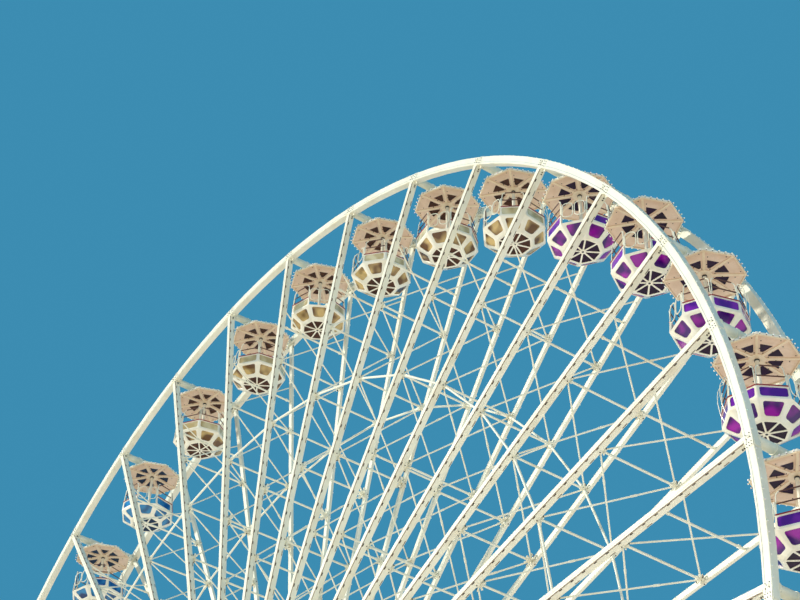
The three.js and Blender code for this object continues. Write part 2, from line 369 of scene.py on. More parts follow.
def hoop(bm, section, segments, material=0, startAngle=0.0):
    # a closed ring round the hub's axis, spun from the (radius, y) corners of its section
    ring = bmesh.new()
    corners = [ring.verts.new(radialPoint(startAngle, radius, y)) for radius, y in section]
    edges = [ring.edges.new((corners[i - 1], corner)) for i, corner in enumerate(corners)]
    bmesh.ops.spin(
        ring, geom=corners + edges, cent=(0, 0, 0), axis=(0, 1, 0), angle=math.tau, steps=segments, use_merge=True)
    bmesh.ops.recalc_face_normals(ring, faces=ring.faces)
    paint(ring.verts, material)
    mesh = meshOf(ring, "hoop")
    bm.from_mesh(mesh)
    bpy.data.meshes.remove(mesh)


def roundedLoop(corners, radius, steps=4):
    # the corners of a flat outline, each replaced by a short arc
    corners = [Vector(corner) for corner in corners]
    points = []
    for i, corner in enumerate(corners):
        back = corners[i - 1] - corner
        on = corners[(i + 1) % len(corners)] - corner
        start = corner + back.normalized() * min(radius, back.length / 2)
        end = corner + on.normalized() * min(radius, on.length / 2)
        for step in range(steps + 1):
            t = step / steps
            points.append(start.lerp(corner, t).lerp(corner.lerp(end, t), t))
    return points


def steps(first, last, pitch):
    # evenly spaced places from first to last, as near the pitch as fits
    count = max(1, round((last - first) / pitch))
    return [first + (last - first) * i / count for i in range(count + 1)]


def meshOf(bm, name):
    mesh = bpy.data.meshes.new(name)
    bm.to_mesh(mesh)
    bm.free()
    return mesh


def showMesh(name, mesh, materials, body, angle=32):
    for material in materials:
        mesh.materials.append(material)
    mesh.polygons.foreach_set("use_smooth", [True] * len(mesh.polygons))
    mesh.set_sharp_from_angle(angle=math.radians(angle))
    piece = bpy.data.objects.new(name, mesh)
    bpy.context.scene.collection.objects.link(piece)
    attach(piece, body)
    return piece


def finishPiece(name, bm, materials, body, place=ground, angle=32):
    bmesh.ops.scale(bm, vec=(modelScale,) * 3, verts=bm.verts)
    bmesh.ops.translate(bm, vec=place, verts=bm.verts)
    return showMesh(name, meshOf(bm, name), materials, body, angle)


# The wheel's lattice, in metres from the hub

def armPoint(spoke, radius, y, aside=0.0):
    angle = wheel["firstAngle"] + spoke * stepAngle
    x = radius * math.sin(angle) + aside * math.cos(angle)
    z = radius * math.cos(angle) - aside * math.sin(angle)
    return Vector((x, y, z))


def armAxes(spoke):
    # outward along a spoke, and across it
    return armPoint(spoke, 1, 0), armPoint(spoke, 0, 0, 1)


lattice = {
    "stations": (0.80, 0.685, 0.57, 0.455, 0.34, 0.225),   # where struts join the two flat wheels
    "outerStrut": 0.865,
    "firstCross": 0.895,
    "ringStation": 0.685,
    "face": 1.4,                                            # the spokes' inner faces
    "strut": 0.038,
    "rod": 0.026,
    "ringBar": 0.04,
}


def roundTheHub(bm):
    # one bay is modelled, then copied to every spoke
    turns = wheel["spokes"] - 1
    bmesh.ops.spin(
        bm, geom=bm.verts[:] + bm.edges[:] + bm.faces[:], cent=(0, 0, 0), axis=(0, 1, 0),
        angle=turns * stepAngle, steps=turns, use_duplicate=True)
    return bm


def buildStruts():
    bm = bmesh.new()
    face = lattice["face"] + 0.02
    for station in (lattice["outerStrut"], *lattice["stations"]):
        radius = station * wheel["radius"]
        rod(bm, armPoint(0, radius, -face), armPoint(0, radius, face), lattice["strut"], 10)
        for hand in (-1, 1):
            # screwed ends with a lock nut
            end = armPoint(0, radius, hand * (face - 0.2))
            rod(bm, end, end + Vector((0, hand * 0.07, 0)), lattice["strut"] * 1.5, 6)
    finishPiece("axial_struts", roundTheHub(bm), [frameEnamel], "wheel", hubPlace)


def buildCrossRods():
    bm = bmesh.new()
    face = lattice["face"]
    bays = list(zip((lattice["firstCross"], *lattice["stations"]), lattice["stations"]))
    for outer, inner in bays:
        for hand in (-1, 1):
            start = armPoint(0, outer * wheel["radius"], -face * hand)
            end = armPoint(0, inner * wheel["radius"], face * hand)
            rod(bm, start, end, lattice["rod"], 8)
            # the turnbuckle, nearer one end
            run = (end - start).normalized()
            middle = start.lerp(end, 0.3)
            rod(bm, middle - run * 0.09, middle + run * 0.09, lattice["rod"] * 1.35, 8)
    finishPiece("cross_rods", roundTheHub(bm), [frameEnamel], "wheel", hubPlace)


def buildRingBars(side, outer):
    bm = bmesh.new()
    radius = lattice["ringStation"] * wheel["radius"]
    y = outer * (lattice["face"] - 0.03)
    start, end = armPoint(0, radius, y), armPoint(1, radius, y)
    rod(bm, start, end, lattice["ringBar"], 10)
    run = (end - start).normalized()
    for end_, hand in ((start, 1), (end, -1)):
        rod(bm, end_ + run * hand * 0.12, end_ + run * hand * 0.26, lattice["ringBar"] * 1.45, 10)
    finishPiece(f"{side}_ring_bars", roundTheHub(bm), [frameEnamel], "wheel", hubPlace)


def buildFittings(side, outer):
    # clusters of eye nuts and clevises where rods, struts and ring bars meet a spoke
    fitting = {"sizes": (0.9, 0.95, 1.3, 0.95, 0.9, 0.85), "pad": 0.085, "eye": 0.034}
    bm = bmesh.new()
    inward = Vector((0, -outer, 0))
    outward, across = armAxes(0)
    turn = facing(across, Vector((0, 1, 0)), outward)
    face = wheel["plane"] - wheel["spoke"][side]["thickness"] / 2
    for station, size in zip(lattice["stations"], fitting["sizes"]):
        centre = armPoint(0, station * wheel["radius"], outer * face)
        rod(bm, centre, centre + inward * 0.05, fitting["pad"] * size, 10)
        rod(bm, centre, centre + inward * 0.16 * size, 0.045 * size, 8)
        for lean in (0.55, 1.57, 2.6, 3.7, 4.71, 5.75):
            away = across * math.sin(lean) + outward * math.cos(lean)
            root = centre + inward * 0.07 * size + away * 0.04 * size
            tip = centre + inward * 0.1 * size + away * 0.15 * size
            rod(bm, root, tip, 0.024 * size, 5)
            bead(bm, tip, fitting["eye"] * size)
        for hand in (-1, 1):
            pin = centre + outward * hand * 0.15 * size + inward * 0.1
            rod(bm, pin - across * 0.05, pin + across * 0.05, 0.016, 6, 1)
        band = wheel["spoke"][side]["width"] / 2 + 0.008
        for hand in (-1, 1):
            strap = centre + across * hand * band - inward * 0.05
            block(bm, (0.016, 0.1, 0.12 * size), Matrix.Translation(strap) @ turn)
            rod(bm, strap, strap + across * hand * 0.026, 0.02, 6, 1)
    finishPiece(f"{side}_brace_fittings", roundTheHub(bm), [frameEnamel, darkSteel], "wheel", hubPlace)


def spokeRun(side):
    return {"start": wheel["flangeRadius"] + 0.45, "end": wheel["radius"] - wheel["rimDepth"] / 2 - 0.05}


def dressFrontSpokes():
    # a rounded lamp housing and a cover strip on the front face with a painted shadow line between them, dark blocks
    # painted as the shade in cable gaps along the edges, small lamps
    housing = {"radius": 0.06, "sunk": 0.045, "aside": -0.046, "stop": 0.5, "lampPitch": 0.66, "lamp": 0.026,
               "jointPitch": 0.48, "gapPitch": 1.45}
    bm = bmesh.new()
    lamps = bmesh.new()
    out = Vector((0, -1, 0))
    size = wheel["spoke"]["front"]
    half = size["width"] / 2
    face = -wheel["plane"] - size["thickness"] / 2
    run = spokeRun("front")
    outward, across = armAxes(0)
    turn = facing(across, Vector((0, 1, 0)), outward)
    start, end = run["start"], run["end"]
    stop = end - housing["stop"]
    tubeY = face + housing["sunk"]
    rod(bm, armPoint(0, start, tubeY, housing["aside"]), armPoint(0, stop, tubeY, housing["aside"]),
        housing["radius"], 12)
    for radius in (start, stop):
        bead(bm, armPoint(0, radius, tubeY, housing["aside"]), housing["radius"], 0, 2)
    # a thin dark strip painted as the shadow in the channel beside the housing, the cover strip, and the wide brown
    # seam along the spoke's edge
    for aside, proud, width, depth, material in (
            (0.024, 0.002, 0.018, 0.006, 2), (0.056, 0.006, 0.046, 0.02, 0), (0.096, 0.004, 0.034, 0.012, 2)):
        ends = [armPoint(0, radius, face, aside) + out * proud for radius in (start, end)]
        beam(bm, *ends, width, depth, out, material)
    # cover joints every third lamp
    for radius in steps(start + 1, stop - 1, 3 * housing["lampPitch"]):
        joint = armPoint(0, radius, tubeY, housing["aside"])
        rod(bm, joint - outward * 0.03, joint + outward * 0.03, housing["radius"] + 0.008, 8)
    for radius in steps(start + 0.5, end - 0.5, housing["lampPitch"]):
        bead(lamps, armPoint(0, radius, face + 0.025, -half), housing["lamp"])
    # dark blocks painted as the shade in the gaps under the housing, on both sides of the spoke
    for hand in (-1, 1):
        for radius in steps(start + 0.7, end - 0.4, housing["jointPitch"]):
            centre = armPoint(0, radius, face + 0.02, hand * (half + 0.001))
            block(bm, (0.01, 0.03, 0.11), Matrix.Translation(centre) @ turn, 1)
        for radius in steps(start + 1.1, end - 0.8, housing["gapPitch"]):
            centre = armPoint(0, radius, face + size["thickness"] - 0.03, hand * (half + 0.001))
            block(bm, (0.008, 0.02, 0.2), Matrix.Translation(centre) @ turn, 1)
    finishPiece("front_spoke_housings", roundTheHub(bm), [frameEnamel, darkSteel, seamAndChannelShade], "wheel", hubPlace)
    finishPiece("front_spoke_lamps", roundTheHub(lamps), [opal], "wheel", hubPlace)


def dressRearSpokes():
    # bare tubes: weld beads along the edges and lamp sockets standing off the outer face
    socket = {"pitch": 1.1, "length": 0.06, "radius": 0.02, "cap": 0.028}
    bm = bmesh.new()
    lamps = bmesh.new()
    size = wheel["spoke"]["rear"]
    half = size["width"] / 2
    face = wheel["plane"] + size["thickness"] / 2
    run = spokeRun("rear")
    for hand in (-1, 1):
        for y in (face - 0.006, face - size["thickness"] + 0.006):
            edge = hand * (half - 0.006)
            rod(bm, armPoint(0, run["start"], y, edge), armPoint(0, run["end"], y, edge), 0.012, 6)
    for radius in steps(run["start"] + 0.5, run["end"] - 0.5, socket["pitch"]):
        foot = armPoint(0, radius, face)
        tip = foot + Vector((0, socket["length"], 0))
        rod(bm, foot, tip, socket["radius"], 6)
        rod(bm, foot, foot + Vector((0, 0.012, 0)), socket["radius"] * 2, 6, 1)
        bead(lamps, tip, socket["cap"])
    finishPiece("rear_spoke_edges", roundTheHub(bm), [frameEnamel, zinc], "wheel", hubPlace)
    finishPiece("rear_spoke_lamps", roundTheHub(lamps), [opal], "wheel", hubPlace)


def dressRim(side, outer):
    # rolled strips with a shadow line between them, splice covers with bolts, and lamps on the outer edge
    rimTrim = {"lampPitch": 0.31, "lamp": 0.022, "splice": 0.26, "bolt": 0.015,
               "strips": ((-0.06, 0.128, 0.008, 0), (-0.086, -0.06, 0.002, 1), (-0.136, -0.086, 0.012, 0))}
    out = Vector((0, outer, 0))
    y = outer * wheel["plane"]
    face = y + outer * wheel["rimWidth"] / 2
    inner = y - outer * wheel["rimWidth"] / 2
    facets = wheel["spokes"] * wheel["rimFacets"]
    reach = 1 / math.cos(math.pi / facets)
    half = wheel["rimDepth"] / 2
    hoops = bmesh.new()
    for low, high, proud, material in rimTrim["strips"]:
        section = [((wheel["radius"] + radial) * reach, y_)
                   for radial, y_ in ((low, face - outer * 0.01), (high, face - outer * 0.01),
                                      (high, face + outer * proud), (low, face + outer * proud))]
        hoop(hoops, section, facets, material, wheel["firstAngle"])
    for radial in (half - 0.03, -half + 0.03):
        section = [((wheel["radius"] + radial + dr) * reach, inner + outer * dy)
                   for dr, dy in ((-0.025, 0.01), (0.025, 0.01), (0.025, -0.008), (-0.025, -0.008))]
        hoop(hoops, section, facets, 0, wheel["firstAngle"])
    finishPiece(f"{side}_rim_strips", hoops, [frameEnamel, greyEnamel], "wheel", hubPlace)
    bm = bmesh.new()
    lamps = bmesh.new()
    outward, across = armAxes(0)
    turn = facing(across, Vector((0, 1, 0)), outward)
    corner = armPoint(0, wheel["radius"], face)
    # axle end of the gondola's tube, and the bolts round it
    rod(bm, corner, corner + out * 0.03, 0.055, 12)
    rod(bm, corner, corner + out * 0.04, 0.016, 6, 1)
    for angle in (0.79, 2.36, 3.93, 5.5):
        bolt = corner + (across * math.cos(angle) + outward * math.sin(angle)) * 0.095
        rod(bm, bolt, bolt + out * 0.028, rimTrim["bolt"], 6, 1)
    # the splice cover just past the corner, outside and inside
    spliceTurn = wheel["firstAngle"] + rimTrim["splice"] / wheel["radius"]
    away = Vector((math.sin(spliceTurn), 0, math.cos(spliceTurn)))
    ahead = Vector((math.cos(spliceTurn), 0, -math.sin(spliceTurn)))
    spliceAxes = facing(ahead, Vector((0, 1, 0)), away)
    for plane, sign in ((face, outer), (inner, -outer)):
        centre = away * wheel["radius"] + Vector((0, plane + sign * 0.008, 0))
        block(bm, (0.17, 0.016, 0.27), Matrix.Translation(centre) @ spliceAxes)
        for row in (-0.085, 0.0, 0.085):
            for column in (-0.05, 0.05):
                bolt = centre + away * row + ahead * column
                rod(bm, bolt, bolt + Vector((0, sign * 0.024, 0)), 0.014, 6, 1)
    lid = away * (wheel["radius"] + half + 0.006) + Vector((0, y, 0))
    block(bm, (0.2, 0.22, 0.014), Matrix.Translation(lid) @ spliceAxes)
    # the spoke's end: cheeks welded under the rim, and the pins through them
    size = wheel["spoke"][side]
    for hand in (-1, 1):
        root = armPoint(0, wheel["radius"] - half - 0.1, y, hand * (size["width"] / 2 + 0.01))
        block(bm, (0.02, size["thickness"] * 0.8, 0.26), Matrix.Translation(root) @ turn)
        wing = armPoint(0, wheel["radius"] - half - 0.035, y, hand * (size["width"] / 2 + 0.08))
        block(bm, (0.16, 0.02, 0.07), Matrix.Translation(wing) @ turn @ Matrix.Rotation(hand * 0.35, 4, "Y"))
        for drop in (0.13, 0.2):
            pin = armPoint(0, wheel["radius"] - half - drop, y, hand * (size["width"] / 2 + 0.015))
            rod(bm, pin, pin + across * hand * 0.035, 0.022, 6, 1)
    finishPiece(f"{side}_rim_splices", roundTheHub(bm), [frameEnamel, darkSteel], "wheel", hubPlace)
    for i in range(int(stepAngle * wheel["radius"] / rimTrim["lampPitch"])):
        angle = wheel["firstAngle"] + (i + 0.5) * rimTrim["lampPitch"] / wheel["radius"]
        away = Vector((math.sin(angle), 0, math.cos(angle)))
        bead(lamps, away * (wheel["radius"] + half + 0.004) + Vector((0, face - outer * 0.04, 0)), rimTrim["lamp"])
    finishPiece(f"{side}_rim_lamps", roundTheHub(lamps), [opal], "wheel", hubPlace)


buildStruts()
buildCrossRods()
for sideName, outerSign in sides.items():
    buildRingBars(sideName, outerSign)
    buildFittings(sideName, outerSign)
    dressRim(sideName, outerSign)
dressFrontSpokes()
dressRearSpokes()
print("lattice built")


# Gondolas, in metres from each one's own axle; the gate faces +X until the tub is turned

octagon = {"sides": 8, "half": math.pi / 8}


def growRing(bm, factor, rise):
    # carries the open edge on to a ring of another size and height
    edges = [edge for edge in bm.edges if edge.is_boundary]
    made = bmesh.ops.extrude_edge_only(bm, edges=edges)
    verts = [item for item in made["geom"] if isinstance(item, bmesh.types.BMVert)]
    bmesh.ops.scale(bm, vec=(factor, factor, 1), verts=verts)
    bmesh.ops.translate(bm, vec=(0, 0, rise), verts=verts)


def sinkPanes(bm, faces, recess, corner, material, gasketMaterial):
    # pushes each face in and rounds the corners of the hole it leaves
    normals = [face.normal.copy() for face in faces]
    panes = bmesh.ops.extrude_discrete_faces(bm, faces=faces)["faces"]
    walls = []
    for pane, normal in zip(panes, normals):
        pane.material_index = material
        bmesh.ops.translate(bm, vec=-normal * recess, verts=pane.verts)
        for vert in pane.verts:
            walls += [edge for edge in vert.link_edges if pane not in edge.link_faces]
    bmesh.ops.bevel(
        bm, geom=walls, offset=corner, segments=3, profile=0.5, affect="EDGES", material=-1)
    # the dark gasket that shows along the pane's edge
    bm.normal_update()
    gasket = bmesh.ops.inset_individual(
        bm, faces=[pane for pane in panes if pane.is_valid], thickness=0.014, depth=0, use_even_offset=True)
    for face in gasket["faces"]:
        face.material_index = gasketMaterial


def glaze(bm, faces, border, recess, corner, material, gasketMaterial):
    # sinks a rounded window into each face, leaving a border round it
    bmesh.ops.inset_individual(bm, faces=faces, thickness=border, depth=0, use_even_offset=True)
    sinkPanes(bm, faces, recess, corner, material, gasketMaterial)


def glazeShaped(bm, faces, window, material):
    # the same, with each window given a top width, a bottom width and a height
    bmesh.ops.inset_individual(bm, faces=faces, thickness=0.03, depth=0, use_even_offset=True)
    for pane in faces:
        centre = pane.calc_center_median()
        across = Vector((0, 0, 1)).cross(pane.normal).normalized()
        up = pane.normal.cross(across)
        for vert in pane.verts:
            side = math.copysign(1, (vert.co - centre).dot(across))
            level = math.copysign(1, (vert.co - centre).dot(up))
            width = window["top"] if level > 0 else window["bottom"]
            vert.co = centre + across * side * width / 2 + up * (level * window["height"] / 2 + window["lift"])
    sinkPanes(bm, faces, window["recess"], window["corner"], material, 3)


def buildTub():
    tubShape = {
        "floor": (0.62, -3.0), "belt": (1.14, -2.64), "top": (1.12, -2.21), "wall": 0.045, "ridge": 0.026,
        "upper": {"top": 0.75, "bottom": 0.74, "height": 0.31, "lift": 0.0, "recess": 0.018, "corner": 0.06},
        "lower": {"top": 0.58, "bottom": 0.38, "height": 0.4, "lift": 0.02, "recess": 0.026, "corner": 0.07},
        "floorPane": (0.026, 0.02, 0.035)}
    bm = bmesh.new()
    floorRadius, floorZ = tubShape["floor"]
    beltRadius, beltZ = tubShape["belt"]
    topRadius, topZ = tubShape["top"]
    turn = Matrix.Translation((0, 0, floorZ)) @ Matrix.Rotation(octagon["half"], 4, "Z")
    bmesh.ops.create_circle(
        bm, cap_ends=True, cap_tris=True, segments=octagon["sides"], radius=floorRadius, matrix=turn)
    growRing(bm, beltRadius / floorRadius, beltZ - floorZ)
    growRing(bm, topRadius / beltRadius, topZ - beltZ)
    gate = max(bm.faces, key=lambda face: face.calc_center_median().x + face.calc_center_median().z)
    bmesh.ops.delete(bm, geom=[gate], context="FACES")
    bmesh.ops.recalc_face_normals(bm, faces=bm.faces)
    bm.normal_update()
    if bm.faces[:][0].normal.z > 0:
        bmesh.ops.reverse_faces(bm, faces=bm.faces)
    ridges = [edge for edge in bm.edges if len(edge.link_faces) == 2 and edge.calc_face_angle() > 0.15]
    bmesh.ops.bevel(
        bm, geom=ridges, offset=tubShape["ridge"], segments=2, profile=0.5, affect="EDGES", material=-1)
    bm.normal_update()
    big = [face for face in bm.faces if face.calc_area() > 0.1]
    upper = [face for face in big if abs(face.normal.z) < 0.3]
    lower = [face for face in big if -0.95 < face.normal.z < -0.3]
    floor = [face for face in big if face.normal.z < -0.95]
    glazeShaped(bm, upper, tubShape["upper"], 1)
    glaze(bm, floor, *tubShape["floorPane"], 3, 3)
    glazeShaped(bm, lower, tubShape["lower"], 2)
    bmesh.ops.solidify(bm, geom=bm.faces[:], thickness=tubShape["wall"])
    # crimson edging on the seven high panels
    for i in range(1, 8):
        angles = [octagon["half"] * (2 * i - 1), octagon["half"] * (2 * i + 1)]
        ends = [Vector((math.cos(a) * (topRadius - 0.02), math.sin(a) * (topRadius - 0.02), topZ + 0.008))
                for a in angles]
        beam(bm, *ends, 0.075, 0.03, (0, 0, 1), 4)
    # floor hub with its drain, the drain hole painted near-black as the shade inside it
    rod(bm, (0, 0, floorZ - 0.012), (0, 0, floorZ + 0.06), 0.1, 20)
    rod(bm, (0, 0, floorZ - 0.018), (0, 0, floorZ + 0.03), 0.038, 12, 5)
    return bm


def buildSeats():
    # ring bench and the hand wheel on the post
    seat = {"inner": 0.62, "outer": 0.98, "height": -2.56, "thick": 0.07, "arc": 7}
    bm = bmesh.new()
    turn = Matrix.Rotation(octagon["half"], 4, "Z")
    corners = [(seat["inner"], seat["height"]), (seat["outer"], seat["height"]),
               (seat["outer"], seat["height"] - seat["thick"]), (seat["inner"], seat["height"] - seat["thick"])]
    verts = [bm.verts.new(turn @ Vector((radius, 0, z))) for radius, z in corners]
    face = bm.faces.new(verts)
    bmesh.ops.spin(
        bm, geom=[face], cent=(0, 0, 0), axis=(0, 0, 1), angle=seat["arc"] * math.pi / 4, steps=seat["arc"])
    bmesh.ops.recalc_face_normals(bm, faces=bm.faces)
    paint(bm.verts[:], 1)
    for i in range(1, 8):
        angle = i * math.pi / 4
        away = Vector((math.cos(angle), math.sin(angle), 0))
        top = away * 0.66 + Vector((0, 0, seat["height"] - seat["thick"]))
        rod(bm, top, away * 0.5 + Vector((0, 0, -2.95)), 0.02)
    ring = [(0.23 * math.cos(a), 0.23 * math.sin(a), -2.18) for a in [i * math.pi / 8 for i in range(16)]]
    tube(bm, ring, 0.018, 6, 0, closed=True)
    for i in range(3):
        angle = i * math.tau / 3
        rod(bm, (0.05 * math.cos(angle), 0.05 * math.sin(angle), -2.18),
            (0.225 * math.cos(angle), 0.225 * math.sin(angle), -2.18), 0.014)
    return bm


def buildRails():
    # over each high panel a cream frame with two dark grips, and two hoops over the gate
    rail = {"tube": 0.016, "grip": 0.019, "foot": -2.2, "middle": -1.86, "top": -1.5, "lean": 0.05}
    bm = bmesh.new()
    apothem = 1.1 * math.cos(octagon["half"])
    for i in range(1, 8):
        outward = Vector((math.cos(i * math.pi / 4), math.sin(i * math.pi / 4), 0))
        across = Vector((-outward.y, outward.x, 0))

        def spot(aside, z, base=outward, along_=across):
            inward = rail["lean"] * (z - rail["foot"]) / (rail["top"] - rail["foot"])
            return base * (apothem - inward) + along_ * aside + Vector((0, 0, z))

        corners = [spot(-0.4, rail["foot"]), spot(-0.36, rail["top"]), spot(0.36, rail["top"]),
                   spot(0.4, rail["foot"])]
        path = [corners[0]] + roundedLoop(corners, 0.12)[5:15] + [corners[3]]
        tube(bm, path, rail["tube"])
        rod(bm, spot(-0.27, rail["top"]), spot(0.27, rail["top"]), rail["grip"], 8, 1)
        rod(bm, spot(-0.38, rail["middle"]), spot(0.38, rail["middle"]), rail["grip"], 8, 1)
    for hand in (-1, 1):
        corners = [Vector((apothem, hand * 0.03, -1.74)), Vector((apothem, hand * 0.37, -1.74)),
                   Vector((apothem + 0.03, hand * 0.37, -2.36)), Vector((apothem + 0.03, hand * 0.03, -2.36))]
        tube(bm, roundedLoop(corners, 0.16), rail["tube"], closed=True)
        hinge = Vector((apothem - 0.01, hand * 0.415, 0))
        rod(bm, hinge + Vector((0, 0, -2.6)), hinge + Vector((0, 0, -1.8)), 0.02)
        for z in (-1.9, -2.2):
            rod(bm, hinge + Vector((0, 0, z)), Vector((apothem + 0.01, hand * 0.365, z)), 0.014)
    # bowed hand hoops outside two of the panels, from the belt up past the rail
    for angle in (3 * math.pi / 4, -3 * math.pi / 4):
        outward = Vector((math.cos(angle), math.sin(angle), 0))
        across = Vector((-outward.y, outward.x, 0))
        for hand in (-1, 1):
            bow = [(1.06, -2.58), (1.15, -2.3), (1.19, -1.95), (1.16, -1.6), (1.05, -1.36), (0.98, -1.32)]
            tube(bm, [outward * r * 0.97 + across * hand * 0.16 + Vector((0, 0, z)) for r, z in bow], 0.012)
        rod(bm, outward * 0.95 + across * -0.16 + Vector((0, 0, -1.32)),
            outward * 0.95 + across * 0.16 + Vector((0, 0, -1.32)), 0.012)
    return bm


def buildCanopy():
    canopy = {"inner": 0.25, "outer": 0.84, "edge": 1.2, "apex": -0.3, "edgeTop": -0.52, "edgeUnder": -0.6,
              "centreUnder": -0.48, "pane": (0.088, 0.016, 0.034), "bulbs": 5, "bulb": 0.028}

    def topZ(radius):
        return canopy["apex"] + (canopy["edgeTop"] - canopy["apex"]) * radius / canopy["edge"]

    def underZ(radius):
        return canopy["centreUnder"] + (canopy["edgeUnder"] - canopy["centreUnder"]) * radius / canopy["edge"]

    inner, outer, edge = canopy["inner"], canopy["outer"], canopy["edge"]
    bm = bmesh.new()
    turn = Matrix.Translation((0, 0, topZ(inner)))
    bmesh.ops.create_circle(bm, cap_ends=True, segments=octagon["sides"], radius=inner, matrix=turn)
    growRing(bm, outer / inner, topZ(outer) - topZ(inner))
    growRing(bm, edge / outer, topZ(edge) - topZ(outer))
    growRing(bm, 1, underZ(edge) - topZ(edge))
    growRing(bm, outer / edge, underZ(outer) - underZ(edge))
    growRing(bm, inner / outer, underZ(inner) - underZ(outer))
    bmesh.ops.holes_fill(bm, edges=[edge_ for edge_ in bm.edges if edge_.is_boundary], sides=8)
    bmesh.ops.recalc_face_normals(bm, faces=bm.faces)
    bm.normal_update()
    fascia = [edge_ for edge_ in bm.edges
              if edge_.calc_face_angle() > 0.6 and min(vert.co.xy.length for vert in edge_.verts) > 1.1]
    bmesh.ops.bevel(
        bm, geom=fascia, offset=0.014, segments=2, profile=0.5, affect="EDGES", material=-1)
    bm.normal_update()
    # down-facing faces take the tan lining, partly its own colour and partly painted warm bounce light from the
    # ground
    for face in bm.faces:
        face.material_index = 1 if face.normal.z < -0.7 else 0
    panes = [face for face in bm.faces if abs(face.normal.z) > 0.7 and face.calc_area() > 0.1
             and inner < face.calc_center_median().xy.length < outer]
    glaze(bm, panes, *canopy["pane"], 2, 2)
    # moulded ribs to the corners, a lip round the edge, and bolts beside the ribs
    for i in range(8):
        angle = i * math.pi / 4
        outward = Vector((math.cos(angle), math.sin(angle), 0))
        across = Vector((-outward.y, outward.x, 0))
        lines = [outward * r + Vector((0, 0, underZ(r) - 0.006)) for r in (0.12, 1.16)]
        beam(bm, *lines, 0.075, 0.034, (0, 0, -1), 3)
        crest = [outward * r + Vector((0, 0, topZ(r) + 0.004)) for r in (0.25, 1.17)]
        beam(bm, *crest, 0.06, 0.02, (0, 0, 1), 0)
        nextOut = Vector((math.cos(angle + math.pi / 4), math.sin(angle + math.pi / 4), 0))
        lip = [point * (edge - 0.03) + Vector((0, 0, underZ(edge) - 0.004)) for point in (outward, nextOut)]
        beam(bm, *lip, 0.035, 0.024, (0, 0, -1), 3)
        for radius, aside in ((0.5, 0.075), (0.86, 0.11), (1.02, -0.13), (0.3, -0.07)):
            foot = outward * radius + across * aside + Vector((0, 0, underZ(radius)))
            rod(bm, foot + Vector((0, 0, 0.01)), foot - Vector((0, 0, 0.014)), 0.018, 6, 4)
        for j in range(canopy["bulbs"]):
            t = (j + 0.5) / canopy["bulbs"]
            spot = outward.lerp(nextOut, t) * edge + Vector((0, 0, underZ(edge) + 0.03))
            away = outward.lerp(nextOut, t).normalized()
            rod(bm, spot, spot + away * 0.035, canopy["bulb"] * 0.6, 4, 4)
            bead(bm, spot + away * 0.048, canopy["bulb"], 5)
    # the flat boss that the ribs run into
    rod(bm, (0, 0, -0.47), (0, 0, -0.53), 0.24, 24, 3)
    return bm


def buildHanger():
    # the tube across the two rims, the saddle that carries the canopy, and the centre post
    hanger = {"tube": 0.15, "end": wheel["plane"] - wheel["rimWidth"] / 2 - 0.0006, "post": 0.058}
    bm = bmesh.new()
    rod(bm, (0, -hanger["end"], 0), (0, hanger["end"], 0), hanger["tube"], 20)
    for hand in (-1, 1):
        rod(bm, (0, hand * (hanger["end"] - 0.002), 0), (0, hand * (hanger["end"] - 0.035), 0), 0.183, 20)
        for i in range(8):
            angle = i * math.pi / 4
            bolt = Vector((0.166 * math.cos(angle), hand * (hanger["end"] - 0.03), 0.166 * math.sin(angle)))
            rod(bm, bolt, bolt - Vector((0, hand * 0.025, 0)), 0.013, 6, 1)
        rod(bm, (0, hand * 0.16, 0), (0, hand * 0.2, 0), 0.18, 20)
        # web plates either side of the neck
        plate(bm, (0, hand * 0.17, -0.19), (0.3, 0.025, 0.3))
        plate(bm, (hand * 0.12, 0, -0.22), (0.025, 0.34, 0.2))
        # stays from the tube down to the canopy's crown
        rod(bm, (0, hand * 0.72, -0.12), (0, hand * 0.42, -0.36), 0.03, 8)
        rod(bm, (0, hand * 0.68, 0), (0, hand * 0.76, 0), 0.168, 20)
        plate(bm, (0, hand * 0.42, -0.365), (0.16, 0.14, 0.02))
    rod(bm, (0, 0, 0), (0, 0, -0.33), 0.12, 16)
    rod(bm, (0, 0, -0.29), (0, 0, -0.335), 0.25, 20)
    for i in range(8):
        angle = (i + 0.5) * math.pi / 4
        rod(bm, (0.2 * math.cos(angle), 0.2 * math.sin(angle), -0.3),
            (0.2 * math.cos(angle), 0.2 * math.sin(angle), -0.27), 0.018, 6, 1)
    rod(bm, (0, 0, -0.49), (0, 0, -2.97), hanger["post"], 16, 2)
    rod(bm, (0, 0, -0.52), (0, 0, -0.575), 0.075, 14, 3)
    rod(bm, (0, 0, -2.9), (0, 0, -2.95), 0.12, 14, 2)
    rod(bm, (0, 0, -2.14), (0, 0, -2.22), 0.075, 12, 3)
    return bm


templates = {
    "tub": meshOf(buildTub(), "tub"),
    "seats": meshOf(buildSeats(), "seats"),
    "rails": meshOf(buildRails(), "rails"),
    "canopy": meshOf(buildCanopy(), "canopy"),
    "hanger": meshOf(buildHanger(), "hanger"),
}
gates = {5: -95, 6: -54, 7: -86, 8: -55, 9: -60, 10: -108, 11: 13}


def gateAzimuth(index):
    return math.radians(gates.get(index, -75 + 45 * math.sin(index * 1.9)))


def glassOf(index):
    # the gondolas' windows change colour every six
    return ("blue", "amber", "purple")[((index + 4) // 6) % 3]


